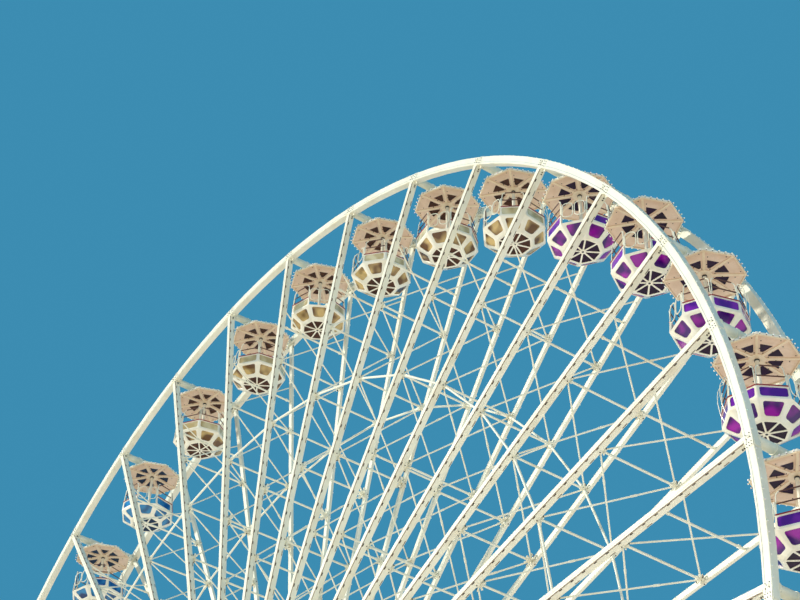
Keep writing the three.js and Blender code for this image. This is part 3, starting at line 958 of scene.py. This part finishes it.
def hangGondola(index, name):
    glass = windowSets[glassOf(index)]
    finishes = {
        "tub": [shellGelcoat, *glass, crimsonVinyl, blackVinylAndHoleShade],
        "seats": [frameEnamel, seatVinyl],
        "rails": [frameEnamel, gripVinyl],
        "canopy": [shellGelcoat, liningAndBounceGelcoat, glass[2], ribGelcoat, darkSteel, opal],
        "hanger": [frameEnamel, zinc, shellGelcoat, blackVinylAndHoleShade],
    }
    place = Matrix.Translation(joints[f"{name}_level"]) @ Matrix.Scale(modelScale, 4)
    turned = place @ Matrix.Rotation(gateAzimuth(index), 4, "Z")
    for part, materials in finishes.items():
        mesh = templates[part].copy()
        mesh.transform(turned if part in ("tub", "seats", "rails") else place)
        piece = showMesh(f"{name}_{part}", mesh, materials, f"{name}_body")
        if part == "tub":
            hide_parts(name)


for number, gondolaName in enumerate(gondolaNames):
    hangGondola(number, gondolaName)
print("gondolas hung")


# Hub and bearings, in metres from the middle of the axle

def fin(bm, corners, thickness, across, material=0):
    # a flat plate with any outline, its thickness measured along across
    shift = Vector(across).normalized() * thickness
    verts = [bm.verts.new(Vector(corner) - shift / 2) for corner in corners]
    face = bm.faces.new(verts)
    made = bmesh.ops.extrude_face_region(bm, geom=[face])
    moved = [item for item in made["geom"] if isinstance(item, bmesh.types.BMVert)]
    bmesh.ops.translate(bm, vec=shift, verts=moved)
    faces = {face_ for vert in verts + moved for face_ in vert.link_faces}
    bmesh.ops.recalc_face_normals(bm, faces=list(faces))
    paint(verts + moved, material)


def boltRing(bm, radius, y, out, count, size, material=1):
    # a circle of hexagon heads on washers, standing off a face at y
    for i in range(count):
        angle = (i + 0.5) * math.tau / count
        foot = Vector((radius * math.sin(angle), y, radius * math.cos(angle)))
        rod(bm, foot, foot + Vector((0, out * size * 0.4, 0)), size * 1.5, 10, material)
        rod(bm, foot, foot + Vector((0, out * size * 1.6, 0)), size, 6, material)


def dressHub():
    # rings, ribs and bolts on the drum and its collars, and the retaining plates on the axle's ends
    shape = {"drum": 0.9, "collar": 1.3, "innerFace": 1.279, "outerFace": 1.721, "shoulder": 0.64, "axle": 0.52,
             "reach": 3.4, "ribs": 12}
    bm = bmesh.new()
    for y in (-0.62, 0.0, 0.62):
        hoop(bm, [(0.86, y - 0.04), (0.97, y - 0.04), (0.97, y + 0.04), (0.86, y + 0.04)], 48)
    for out in (-1, 1):
        hoop(bm, [(1.22, out * 1.17), (1.34, out * 1.17), (1.34, out * 1.26), (1.22, out * 1.26)], 64)
        hoop(bm, [(0.62, out * 1.73), (0.78, out * 1.73), (0.74, out * 1.8), (0.62, out * 1.84)], 48)
        for y in (1.98, 2.14):
            hoop(bm, [(0.6, out * y), (0.68, out * y), (0.68, out * (y + 0.05)), (0.6, out * (y + 0.05))], 40)
        hoop(bm, [(0.5, out * 3.235), (0.6, out * 3.235), (0.6, out * 3.3), (0.5, out * 3.3)], 40, 1)
        end = Vector((0, out * shape["reach"], 0))
        rod(bm, end, end + Vector((0, out * 0.05, 0)), 0.46, 40)
        rod(bm, end, end + Vector((0, out * 0.12, 0)), 0.16, 24, 1)
        boltRing(bm, 0.34, out * (shape["reach"] + 0.05), out, 10, 0.03)
        boltRing(bm, 1.19, out * shape["outerFace"], out, 24, 0.026)
        boltRing(bm, 0.98, out * shape["outerFace"], out, 24, 0.02)
        for i in range(shape["ribs"]):
            angle = (i + 0.5) * math.tau / shape["ribs"]
            across = radialPoint(angle + math.pi / 2, 1, 0)
            corners = [radialPoint(angle, 0.86, out * 0.66), radialPoint(angle, 0.86, out * 1.28),
                       radialPoint(angle, 1.25, out * 1.28), radialPoint(angle, 1.25, out * 1.2)]
            fin(bm, corners, 0.03, across)
            outside = [radialPoint(angle, 0.66, out * 1.72), radialPoint(angle, 1.1, out * 1.72),
                       radialPoint(angle, 0.66, out * 1.95)]
            fin(bm, outside, 0.03, across)
    # the cable outlet on the rear end of the axle
    rod(bm, (0, 3.5, 0), (0, 3.74, 0), 0.12, 24, 1)
    rod(bm, (0, 3.74, 0), (0, 3.8, 0), 0.09, 24, 2)
    finishPiece("hub_fittings", bm, [greyEnamel, zinc, blackVinylAndHoleShade], "wheel", hubPlace)


def dressFlange(side, outer):
    # the clamp that holds each spoke's root, its gussets and bolts
    bm = bmesh.new()
    clamp = {"inner": 1.62, "outer": 2.38, "proud": 0.03, "cheek": 0.035}
    width = wheel["spoke"][side]["width"]
    y = outer * wheel["plane"]
    depth = wheel["flangeThickness"] + 2 * clamp["proud"]
    outward, across = armAxes(0)
    level = Vector((0, 1, 0))
    turn = facing(across, level, outward)
    middle = (clamp["inner"] + clamp["outer"]) / 2
    length = clamp["outer"] - clamp["inner"]
    for hand in (-1, 1):
        cheek = armPoint(0, middle + 0.12, y, hand * (width / 2 + clamp["cheek"] / 2))
        block(bm, (clamp["cheek"], wheel["flangeThickness"] - 0.02, length), Matrix.Translation(cheek) @ turn)
        face = armPoint(0, middle, y + hand * (depth / 2 - clamp["proud"] / 2))
        block(bm, (width + 2 * clamp["cheek"], clamp["proud"], length), Matrix.Translation(face) @ turn)
        for radius in (clamp["inner"] + 0.1, clamp["inner"] + 0.28, clamp["outer"] - 0.3, clamp["outer"] - 0.1):
            for aside in (-0.07, 0.07):
                bolt = armPoint(0, radius, y + hand * depth / 2, aside)
                rod(bm, bolt, bolt + level * hand * 0.03, 0.022, 6, 1)
        gusset = [armPoint(0, 1.96, y, hand * (width / 2 + 0.02)), armPoint(0, 2.34, y, hand * (width / 2 + 0.02)),
                  armPoint(0, 1.96, y, hand * (width / 2 + 0.07))]
        fin(bm, gusset, 0.04, level)
    finishPiece(f"{side}_spoke_clamps", roundTheHub(bm), [frameEnamel, zinc], "wheel", hubPlace)
    rings = bmesh.new()
    for hand in (-1, 1):
        face = y + hand * wheel["flangeThickness"] / 2
        for low, high, proud in ((1.42, 1.5, 0.02), (1.9, 1.97, 0.025)):
            hoop(rings, [(low, face - hand * 0.01), (high, face - hand * 0.01), (high, face + hand * proud),
                         (low, face + hand * proud)], 72)
    finishPiece(f"{side}_flange_rings", rings, [frameEnamel], "wheel", hubPlace)


def dressBearing(side, outer):
    # end rings, clamping bands, the housing's split flanges, saddle gussets, bolts and a grease line
    shape = {"inner": 2.3, "depth": 0.9, "radius": 0.9, "saddleTop": -0.7, "saddleUnder": -1.0, "half": 1.3}
    bm = bmesh.new()
    inner = outer * shape["inner"]
    far = outer * (shape["inner"] + shape["depth"])
    middle = (inner + far) / 2
    hoop(bm, [(0.64, far), (0.88, far), (0.86, far + outer * 0.035), (0.64, far + outer * 0.035)], 48)
    boltRing(bm, 0.75, far + outer * 0.035, outer, 20, 0.024)
    hoop(bm, [(0.7, inner), (0.88, inner), (0.86, inner - outer * 0.03), (0.7, inner - outer * 0.03)], 48)
    for y in (inner + outer * 0.07, middle, far - outer * 0.07):
        hoop(bm, [(0.86, y - 0.045), (0.955, y - 0.045), (0.955, y + 0.045), (0.86, y + 0.045)], 48)
    for hand in (-1, 1):
        plate(bm, (hand * 0.99, middle, 0.035), (0.24, 0.84, 0.06))
        plate(bm, (hand * 0.99, middle, -0.035), (0.24, 0.84, 0.06))
        for y in (-0.33, -0.11, 0.11, 0.33):
            foot = Vector((hand * 1.05, middle + y, 0.065))
            rod(bm, foot, foot + Vector((0, 0, 0.05)), 0.034, 6, 1)
            rod(bm, foot - Vector((0, 0, 0.13)), foot - Vector((0, 0, 0.2)), 0.034, 6, 1)
        for y in (inner + outer * 0.07, middle, far - outer * 0.07):
            corners = [(hand * 0.86, y, -0.25), (hand * 1.26, y, shape["saddleTop"] + 0.01),
                       (hand * 0.52, y, shape["saddleTop"] + 0.01), (hand * 0.72, y, -0.5)]
            fin(bm, corners, 0.04, (0, 1, 0))
        plate(bm, (hand * 1.2, middle, shape["saddleUnder"] - 0.012), (0.3, 1.02, 0.03))
        for y in (-0.36, 0.36):
            foot = Vector((hand * 1.2, middle + y, shape["saddleTop"]))
            rod(bm, foot, foot + Vector((0, 0, 0.06)), 0.04, 6, 1)
            rod(bm, foot, foot + Vector((0, 0, 0.015)), 0.065, 12, 1)
    for z in (shape["saddleTop"] - 0.03, shape["saddleUnder"] + 0.03):
        for y in (inner - outer * 0.012, far + outer * 0.012):
            plate(bm, (0, y, z), (2 * shape["half"] + 0.02, 0.026, 0.05))
    # lifting eye and grease line
    ring = [(0.09 * math.cos(i * math.pi / 6), middle, 1.05 + 0.09 * math.sin(i * math.pi / 6)) for i in range(12)]
    tube(bm, ring, 0.024, 8, 1, closed=True)
    plate(bm, (0, middle, 0.955), (0.2, 0.16, 0.03))
    line = [(0.3, middle, 0.86), (0.34, middle, 0.98), (0.5, middle + outer * 0.2, 0.96),
            (0.78, far + outer * 0.05, 0.62), (0.96, far + outer * 0.06, 0.1), (1.0, far + outer * 0.05, -0.6)]
    tube(bm, line, 0.014, 6, 2)
    finishPiece(f"{side}_bearing_fittings", bm, [greyEnamel, zinc, blackVinylAndHoleShade], "support", hubPlace)


dressHub()
for sideName, outerSign in sides.items():
    dressFlange(sideName, outerSign)
    dressBearing(sideName, outerSign)
print("hub dressed")


# Legs and base, in metres from the ground under the hub

legShape = {"footX": 11.5, "footY": 5.5, "footZ": 0.6, "headX": 0.65, "headY": 2.75,
            "headZ": wheel["hubHeight"] - 1.0, "foot": (1.3, 0.7), "head": (1.1, 0.76)}


def legPoint(outer, hand, t, x=0.0, y=0.0):
    # a point on a leg at a share of its length; x and y run from -1 to 1 across its level section
    middle = Vector((hand * legShape["footX"], outer * legShape["footY"], legShape["footZ"])).lerp(
        Vector((hand * legShape["headX"], outer * legShape["headY"], legShape["headZ"])), t)
    size = Vector(legShape["foot"]).lerp(Vector(legShape["head"]), t)
    return middle + Vector((x * size.x / 2, y * size.y / 2, 0))


def legSize(t, extra):
    size = Vector(legShape["foot"]).lerp(Vector(legShape["head"]), t)
    return size.x + extra, size.y + extra


def dressLeg(side, outer, handName, hand):
    # corner angles, stiffening bands, three bolted joints, and the foot and head plates
    leg = {"corner": 0.09, "bands": 22, "joints": (0.25, 0.5, 0.75)}
    bm = bmesh.new()
    for x in (-1, 1):
        for y in (-1, 1):
            inset = Vector((-x * leg["corner"] * 0.3, -y * leg["corner"] * 0.3, 0))
            beam(bm, legPoint(outer, hand, 0.004, x, y) + inset, legPoint(outer, hand, 0.992, x, y) + inset,
                 leg["corner"], leg["corner"], (0, outer, 0))
    for i in range(1, leg["bands"]):
        t = i / leg["bands"]
        plate(bm, legPoint(outer, hand, t), (*legSize(t, 0.024), 0.07))
    for t in leg["joints"]:
        width, depth = legSize(t, 0.2)
        for rise in (-0.035, 0.035):
            plate(bm, legPoint(outer, hand, t) + Vector((0, 0, rise)), (width, depth, 0.06))
        spots = [(x, y * (depth / 2 - 0.05)) for x in steps(-width / 2 + 0.07, width / 2 - 0.07, 0.2)
                 for y in (-1, 1)]
        spots += [(x * (width / 2 - 0.05), y) for y in steps(-depth / 2 + 0.2, depth / 2 - 0.2, 0.2)
                  for x in (-1, 1)]
        for x, y in spots:
            foot = legPoint(outer, hand, t) + Vector((x, y, -0.11))
            rod(bm, foot, foot + Vector((0, 0, 0.22)), 0.028, 6, 1)
    # foot: base plate, gussets and hold-down bolts
    base = Vector((hand * legShape["footX"], outer * legShape["footY"], legShape["footZ"] + 0.025))
    plate(bm, base, (1.78, 0.88, 0.05))
    for x in (-0.8, -0.45, 0.0, 0.45, 0.8):
        for y in (-0.4, 0.4):
            foot = base + Vector((x, y, 0.02))
            rod(bm, foot, foot + Vector((0, 0, 0.045)), 0.034, 6, 1)
            rod(bm, foot, foot + Vector((0, 0, 0.09)), 0.018, 8, 1)
    for x in (-1, 1):
        for y in (-0.24, 0.24):
            root = base + Vector((x * 0.64, y, 0.02))
            corners = [root, root + Vector((x * 0.22, 0, 0)), root + Vector((-hand * 0.14, 0, 0.42))]
            fin(bm, corners, 0.03, (0, 1, 0))
    # head: cap plate under the saddle
    head = Vector((hand * legShape["headX"], outer * legShape["headY"], legShape["headZ"] - 0.06))
    plate(bm, head, (1.2, 0.86, 0.08))
    for x in (-0.5, -0.17, 0.17, 0.5):
        for y in (-0.415, 0.415):
            foot = head + Vector((x, y, -0.09))
            rod(bm, foot, foot + Vector((0, 0, 0.08)), 0.026, 6, 1)
    finishPiece(f"{side}_{handName}_leg_fittings", bm, [legEnamel, zinc], "support")


def buildLadder(side, outer, handName, hand):
    # a caged ladder up the outer face of a leg
    ladder = {"half": 0.2, "stand": 0.16, "rung": 0.3, "rail": 0.022, "cage": 0.34, "hoopPitch": 1.0}
    bm = bmesh.new()

    def spot(t, aside, away):
        return legPoint(outer, hand, t, 0, outer) + Vector((aside, outer * away, 0))

    length = (legPoint(outer, hand, 1) - legPoint(outer, hand, 0)).length
    low, high = 0.02, 0.965
    for aside in (-1, 1):
        x = aside * ladder["half"]
        rod(bm, spot(low, x, ladder["stand"]), spot(high, x, ladder["stand"]), ladder["rail"], 8)
    for t in steps(low + 0.005, high - 0.005, ladder["rung"] / length):
        rod(bm, spot(t, -ladder["half"], ladder["stand"]), spot(t, ladder["half"], ladder["stand"]), 0.013, 6)
    for t in steps(low + 0.02, high - 0.02, 2.4 / length):
        for aside in (-1, 1):
            x = aside * ladder["half"]
            rod(bm, spot(t, x, -0.02), spot(t, x, ladder["stand"]), 0.018, 6)
    arc = [math.radians(angle) for angle in range(-20, 201, 20)]
    ringsAt = steps(low + 0.09, high - 0.01, ladder["hoopPitch"] / length)
    for t in ringsAt:
        ring = [spot(t, ladder["cage"] * math.cos(a), ladder["stand"] + 0.16 + 0.42 * math.sin(a)) for a in arc]
        tube(bm, [spot(t, ladder["half"], ladder["stand"]), *ring, spot(t, -ladder["half"], ladder["stand"])], 0.012)
    for a in arc[2:-1:2]:
        rod(bm, spot(ringsAt[0], ladder["cage"] * math.cos(a), ladder["stand"] + 0.16 + 0.42 * math.sin(a)),
            spot(ringsAt[-1], ladder["cage"] * math.cos(a), ladder["stand"] + 0.16 + 0.42 * math.sin(a)), 0.01, 6)
    finishPiece(f"{side}_{handName}_ladder", bm, [zinc], "support")


def buildCableRun(side, outer, handName, hand):
    # a tray with three cables up the outer face of a leg, clipped at every band
    bm = bmesh.new()

    def spot(t, aside, away):
        return legPoint(outer, hand, t, 0, outer) + Vector((aside, outer * away, 0))

    for aside in (-0.14, 0.14):
        beam(bm, spot(0.01, aside, 0.05), spot(0.98, aside, 0.05), 0.016, 0.09, (0, outer, 0))
    beam(bm, spot(0.01, 0, 0.03), spot(0.98, 0, 0.03), 0.28, 0.012, (0, outer, 0))
    for aside in (-0.08, 0.0, 0.08):
        tube(bm, [spot(0.01, aside, 0.065), spot(0.98, aside, 0.065)], 0.026, 8, 1)
    for t in steps(0.02, 0.97, 0.03):
        start, end = spot(t, -0.15, 0.1), spot(t, 0.15, 0.1)
        beam(bm, start, end, 0.05, 0.01, (0, outer, 0))
    finishPiece(f"{side}_{handName}_cable_tray", bm, [zinc, blackVinylAndHoleShade], "support")


def dressBeam(name, start, end, width, height, levelled):
    # lips along the edges, web stiffeners, bolted splices, end plates and screw jacks
    beamTrim = {"lip": 0.06, "proud": 0.03, "pitch": 1.35, "jackPitch": 3.6}
    bm = bmesh.new()
    start, end = Vector(start), Vector(end)
    run = (end - start).normalized()
    across = Vector((-run.y, run.x, 0))
    turn = facing(across, run, Vector((0, 0, 1))) if run.x == 0 else facing(run, across, Vector((0, 0, 1)))
    length = (end - start).length

    def piece(distance, aside, z, long_, wide, tall, material=0):
        size = (wide, long_, tall) if run.x == 0 else (long_, wide, tall)
        place = start + run * distance + across * aside + Vector((0, 0, z))
        block(bm, size, Matrix.Translation(place) @ turn, material)

    for hand in (-1, 1):
        for z in (beamTrim["lip"] / 2, height - beamTrim["lip"] / 2):
            piece(length / 2, hand * width / 2, z, length, 2 * beamTrim["proud"], beamTrim["lip"])
        for distance in steps(0.3, length - 0.3, beamTrim["pitch"]):
            piece(distance, hand * (width / 2 + 0.01), height / 2, 0.035, 0.04, height - 0.1)
        for distance in (length / 3, 2 * length / 3):
            piece(distance, hand * (width / 2 + 0.008), height / 2, 0.7, 0.018, height - 0.16)
            for row in (-0.14, 0.0, 0.14):
                for column in (-0.26, -0.12, 0.12, 0.26):
                    bolt = start + run * (distance + column) + across * hand * (width / 2 + 0.016)
                    bolt = bolt + Vector((0, 0, height / 2 + row))
                    rod(bm, bolt, bolt + across * hand * 0.03, 0.024, 6, 1)
        if levelled:
            for distance in steps(1.2, length - 1.2, beamTrim["jackPitch"]):
                foot = start + run * distance + across * hand * (width / 2 + 0.16)
                piece(distance, hand * (width / 2 + 0.11), 0.4, 0.2, 0.24, 0.05)
                piece(distance, hand * (width / 2 + 0.11), 0.24, 0.03, 0.2, 0.28)
                rod(bm, foot + Vector((0, 0, 0.03)), foot + Vector((0, 0, 0.62)), 0.03, 10, 1)
                rod(bm, foot + Vector((0, 0, 0.0)), foot + Vector((0, 0, 0.035)), 0.12, 16, 1)
                rod(bm, foot + Vector((0, 0, 0.41)), foot + Vector((0, 0, 0.48)), 0.06, 6, 1)
                grip = foot + Vector((0, 0, 0.59))
                rod(bm, grip - run * 0.13, grip + run * 0.13, 0.014, 6, 1)
    for distance in (-0.012, length + 0.012):
        if levelled:
            piece(distance, 0, height / 2, 0.024, width - 0.02, height - 0.02)
    finishPiece(f"{name}_fittings", bm, [legEnamel, zinc], "support")


for sideName, outerSign in sides.items():
    for handName, handSign in hands.items():
        dressLeg(sideName, outerSign, handName, handSign)
    buildLadder(sideName, outerSign, "left", -1)
    buildCableRun(sideName, outerSign, "right", 1)
    beamY = outerSign * legShape["footY"]
    dressBeam(f"{sideName}_base_beam", (-13.5, beamY, 0), (13.5, beamY, 0), 0.9, 0.6, True)
for handName, handSign in hands.items():
    beamX = handSign * legShape["footX"]
    dressBeam(f"{handName}_cross_beam", (beamX, -5.0, 0), (beamX, 5.0, 0), 0.8, 0.6, False)
print("legs and base dressed")


# Boarding platform and steps

deck = {"halfX": 6.0, "halfY": 7.0, "top": 1.0, "under": 0.85, "gap": 1.9, "stepHalf": 2.0,
        "run": 0.32, "rise": 0.2, "treads": 4}


def railing(bm, start, end, infill=True):
    # posts, two rails, a toe board and, if wanted, thin bars between them
    rail = {"height": 1.1, "low": 0.12, "pitch": 1.45, "post": 0.026, "bar": 0.009, "barPitch": 0.13}
    start, end = Vector(start), Vector(end)
    up = Vector((0, 0, 1))
    run = (end - start).normalized()
    length = (end - start).length
    for distance in steps(0.03, length - 0.03, rail["pitch"]):
        foot = start + run * distance
        rod(bm, foot, foot + up * rail["height"], rail["post"], 10)
        rod(bm, foot, foot + up * 0.016, 0.07, 8, 1)
        bead(bm, foot + up * rail["height"], rail["post"] * 1.05)
    rod(bm, start + up * rail["height"], end + up * rail["height"], rail["post"], 10)
    for height in (rail["low"] + 0.03, rail["height"] - 0.14):
        rod(bm, start + up * height, end + up * height, 0.016, 8)
    beam(bm, start + up * 0.06, end + up * 0.06, 0.1, 0.01, run.cross(up), 1)
    if infill:
        for distance in steps(0.12, length - 0.12, rail["barPitch"]):
            foot = start + run * distance
            rod(bm, foot + up * (rail["low"] + 0.03), foot + up * (rail["height"] - 0.14), rail["bar"], 6)


def buildRailings():
    bm = bmesh.new()
    x, y, z = deck["halfX"] - 0.06, deck["halfY"] - 0.06, deck["top"]
    for outer in (-1, 1):
        for hand in (-1, 1):
            railing(bm, (hand * deck["stepHalf"], outer * y, z), (hand * x, outer * y, z))
            railing(bm, (hand * x, outer * y, z), (hand * x, outer * deck["gap"], z))
            railing(bm, (hand * x, outer * deck["gap"], z), (hand * 1.3, outer * deck["gap"], z))
            # an open gate leaf, folded back along the inner rail
            leaf = Vector((hand * 1.32, outer * (deck["gap"] + 0.1), z))
            tip = leaf + Vector((hand * 1.0, outer * 0.12, 0))
            for height in (0.2, 0.6, 1.05):
                rod(bm, leaf + Vector((0, 0, height)), tip + Vector((0, 0, height)), 0.018, 8)
            for place in (leaf, tip):
                rod(bm, place + Vector((0, 0, 0.16)), place + Vector((0, 0, 1.07)), 0.018, 8)
    finishPiece("platform_railings", bm, [zinc, treadPlate], "support")


def dressPlatform():
    # edge channels, cover strips over the plate joints, knee braces, skirts and post feet
    bm = bmesh.new()
    x, y = deck["halfX"], deck["halfY"]
    middle = (deck["top"] + deck["under"]) / 2
    for outer in (-1, 1):
        for rise, tall in ((middle, 0.146), (deck["under"] + 0.02, 0.04), (deck["top"] - 0.02, 0.036)):
            proud = 0.012 if rise == middle else 0.03
            plate(bm, (0, outer * (y + proud / 2 - 0.006), rise), (2 * x + 0.02, proud + 0.012, tall))
            plate(bm, (outer * (x + proud / 2 - 0.006), 0, rise), (proud + 0.012, 2 * y + 0.02, tall))
        # skirts either side of the steps
        for hand in (-1, 1):
            width = x - deck["stepHalf"] - 0.16
            centre = hand * (deck["stepHalf"] + 0.08 + width / 2)
            plate(bm, (centre, outer * (y - 0.03), 0.44), (width, 0.016, 0.8), 1)
            for distance in steps(-width / 2 + 0.04, width / 2 - 0.04, 0.3):
                plate(bm, (centre + distance, outer * (y - 0.018), 0.44), (0.05, 0.02, 0.8), 1)
    for place in steps(-x + 2, x - 2, 2):
        plate(bm, (place, 0, deck["top"] + 0.0015), (0.06, 2 * y - 0.1, 0.003), 2)
    for place in steps(-y + 1.75, y - 1.75, 1.75):
        plate(bm, (0, place, deck["top"] + 0.002), (2 * x - 0.1, 0.06, 0.004), 2)
    for hand in (-1, 1):
        for outer in (-1, 1):
            for near, far in ((6.9, 5.9), (4.14, 5.1), (4.14, 3.2), (0.0, 0.95)):
                beam(bm, (hand * 5.9, outer * near, 0.18), (hand * 5.9, outer * far, 0.86), 0.07, 0.07, (1, 0, 0))
    for place in (-5.9, 0.0, 5.9):
        for level in (-6.9, -4.14, 0.0, 4.14, 6.9):
            plate(bm, (place, level, 0.012), (0.34, 0.34, 0.024), 2)
    finishPiece("platform_trim", bm, [greyEnamel, legEnamel, zinc], "support")


def dressSteps(side, outer):
    # stringers, bright nosings, riser plates and sloping handrails
    bm = bmesh.new()
    y0 = outer * deck["halfY"]
    foot = y0 + outer * deck["treads"] * deck["run"]
    for i in range(deck["treads"]):
        edge = y0 + outer * (deck["treads"] - i) * deck["run"]
        rise = deck["rise"] * (i + 1)
        plate(bm, (0, edge - outer * 0.02, rise - 0.008), (2 * deck["stepHalf"], 0.05, 0.024), 2)
        plate(bm, (0, edge + outer * 0.003, rise - 0.11), (2 * deck["stepHalf"] - 0.2, 0.01, 0.1), 1)
        for place in steps(-deck["stepHalf"] + 0.3, deck["stepHalf"] - 0.3, 0.28):
            plate(bm, (place, edge - outer * 0.16, rise + 0.002), (0.16, 0.18, 0.006), 2)
    for hand in (-1, 1):
        x = hand * (deck["stepHalf"] + 0.015)
        corners = [(x, y0, 0.0), (x, foot + outer * 0.06, 0.0), (x, foot + outer * 0.06, 0.16),
                   (x, y0, deck["top"] - 0.02)]
        fin(bm, corners, 0.03, (1, 0, 0), 1)
    for place in (-deck["stepHalf"] + 0.05, 0.0, deck["stepHalf"] - 0.05):
        low = Vector((place, foot - outer * 0.14, deck["rise"]))
        high = Vector((place, y0 + outer * 0.14, deck["rise"] * deck["treads"]))
        for share in (0.0, 0.5, 1.0):
            post = low.lerp(high, share)
            rod(bm, post, post + Vector((0, 0, 1.02)), 0.024, 10)
            rod(bm, post, post + Vector((0, 0, 0.016)), 0.06, 8)
        for height in (0.5, 1.02):
            rise = Vector((0, 0, height))
            rod(bm, low - (high - low) * 0.12 + rise, high + (high - low) * 0.14 + rise, 0.024, 10)
        for end in (low - (high - low) * 0.12, high + (high - low) * 0.14):
            tube(bm, [end + Vector((0, 0, 1.02)), end + Vector((0, 0, 0.5))], 0.024, 8)
    finishPiece(f"{side}_steps_trim", bm, [zinc, greyEnamel, treadPlate], "support")


buildRailings()
dressPlatform()
for sideName, outerSign in sides.items():
    dressSteps(sideName, outerSign)
print("platform dressed")


# CAD solids that keep their shape

def coatNodes(material, match):
    for name, node in frame["nodes"].items():
        if match(name):
            for slot in node.material_slots:
                slot.material = material


coatNodes(frameEnamel, lambda name: "_rim_" in name or "_spokes_" in name)
coatNodes(legEnamel, lambda name: name.endswith(("_leg", "_beam")))
coatNodes(treadPlate, lambda name: name.endswith(("_steps", "_platform")))
coatNodes(greyEnamel, lambda name: name.endswith(("_bearing", "hub")))


# Stage: pale floor and soft light

def addSun(name, energy, colour, toward, softness):
    light = bpy.data.lights.new(name, "SUN")
    light.energy = energy
    light.angle = math.radians(softness)
    light.color = colour
    lamp = bpy.data.objects.new(name, light)
    lamp.rotation_euler = Vector(toward).to_track_quat("-Z", "Y").to_euler()
    bpy.context.scene.collection.objects.link(lamp)


def setStage():
    stageLook = {"floor": "#F5EBDA", "floorGlow": 0.15, "sky": "#46A0CA", "skyStrength": 0.75, "bounce": 0.6}
    # plain colour management, so that sunlit enamel comes out nearly white as it does in the photograph
    bpy.context.scene.view_settings.view_transform = "Standard"
    floor, tree, shader = newSurface("studio_floor", Roughness=0.9)
    for socket in ("Base Color", "Emission Color"):
        shader.inputs[socket].default_value = hexColour(stageLook["floor"])
    shader.inputs["Emission Strength"].default_value = stageLook["floorGlow"]
    bm = bmesh.new()
    bmesh.ops.create_grid(bm, x_segments=1, y_segments=1, size=400)
    mesh = meshOf(bm, "studio_floor")
    mesh.materials.append(floor)
    ground_ = bpy.data.objects.new("studio_floor", mesh)
    ground_.location.z = -0.002
    bpy.context.scene.collection.objects.link(ground_)
    world = bpy.data.worlds.new("studio")
    world.use_nodes = True
    background = world.node_tree.nodes["Background"]
    background.inputs["Color"].default_value = hexColour(stageLook["sky"])
    background.inputs["Strength"].default_value = stageLook["skyStrength"]
    bpy.context.scene.world = world
    # a low warm key from the photographer's left, and a weaker, softer fill from behind the camera
    addSun("key", 3.2, (1.0, 0.96, 0.85), (0.55, 0.776, -0.31), 4)
    addSun("fill", 0.7, (1.0, 0.8, 0.6), (-0.75, 0.6, -0.12), 50)
    # warm light coming back up from the ground, as in the photograph's shaded undersides
    bounce = bpy.data.lights.new("bounce", "AREA")
    bounce.size = 90
    bounce.energy = stageLook["bounce"] * math.pi * bounce.size ** 2
    bounce.color = (1.0, 0.78, 0.66)
    panel = bpy.data.objects.new("bounce", bounce)
    panel.rotation_euler = (math.pi, 0, 0)
    bpy.context.scene.collection.objects.link(panel)


setStage()
print("stage set")
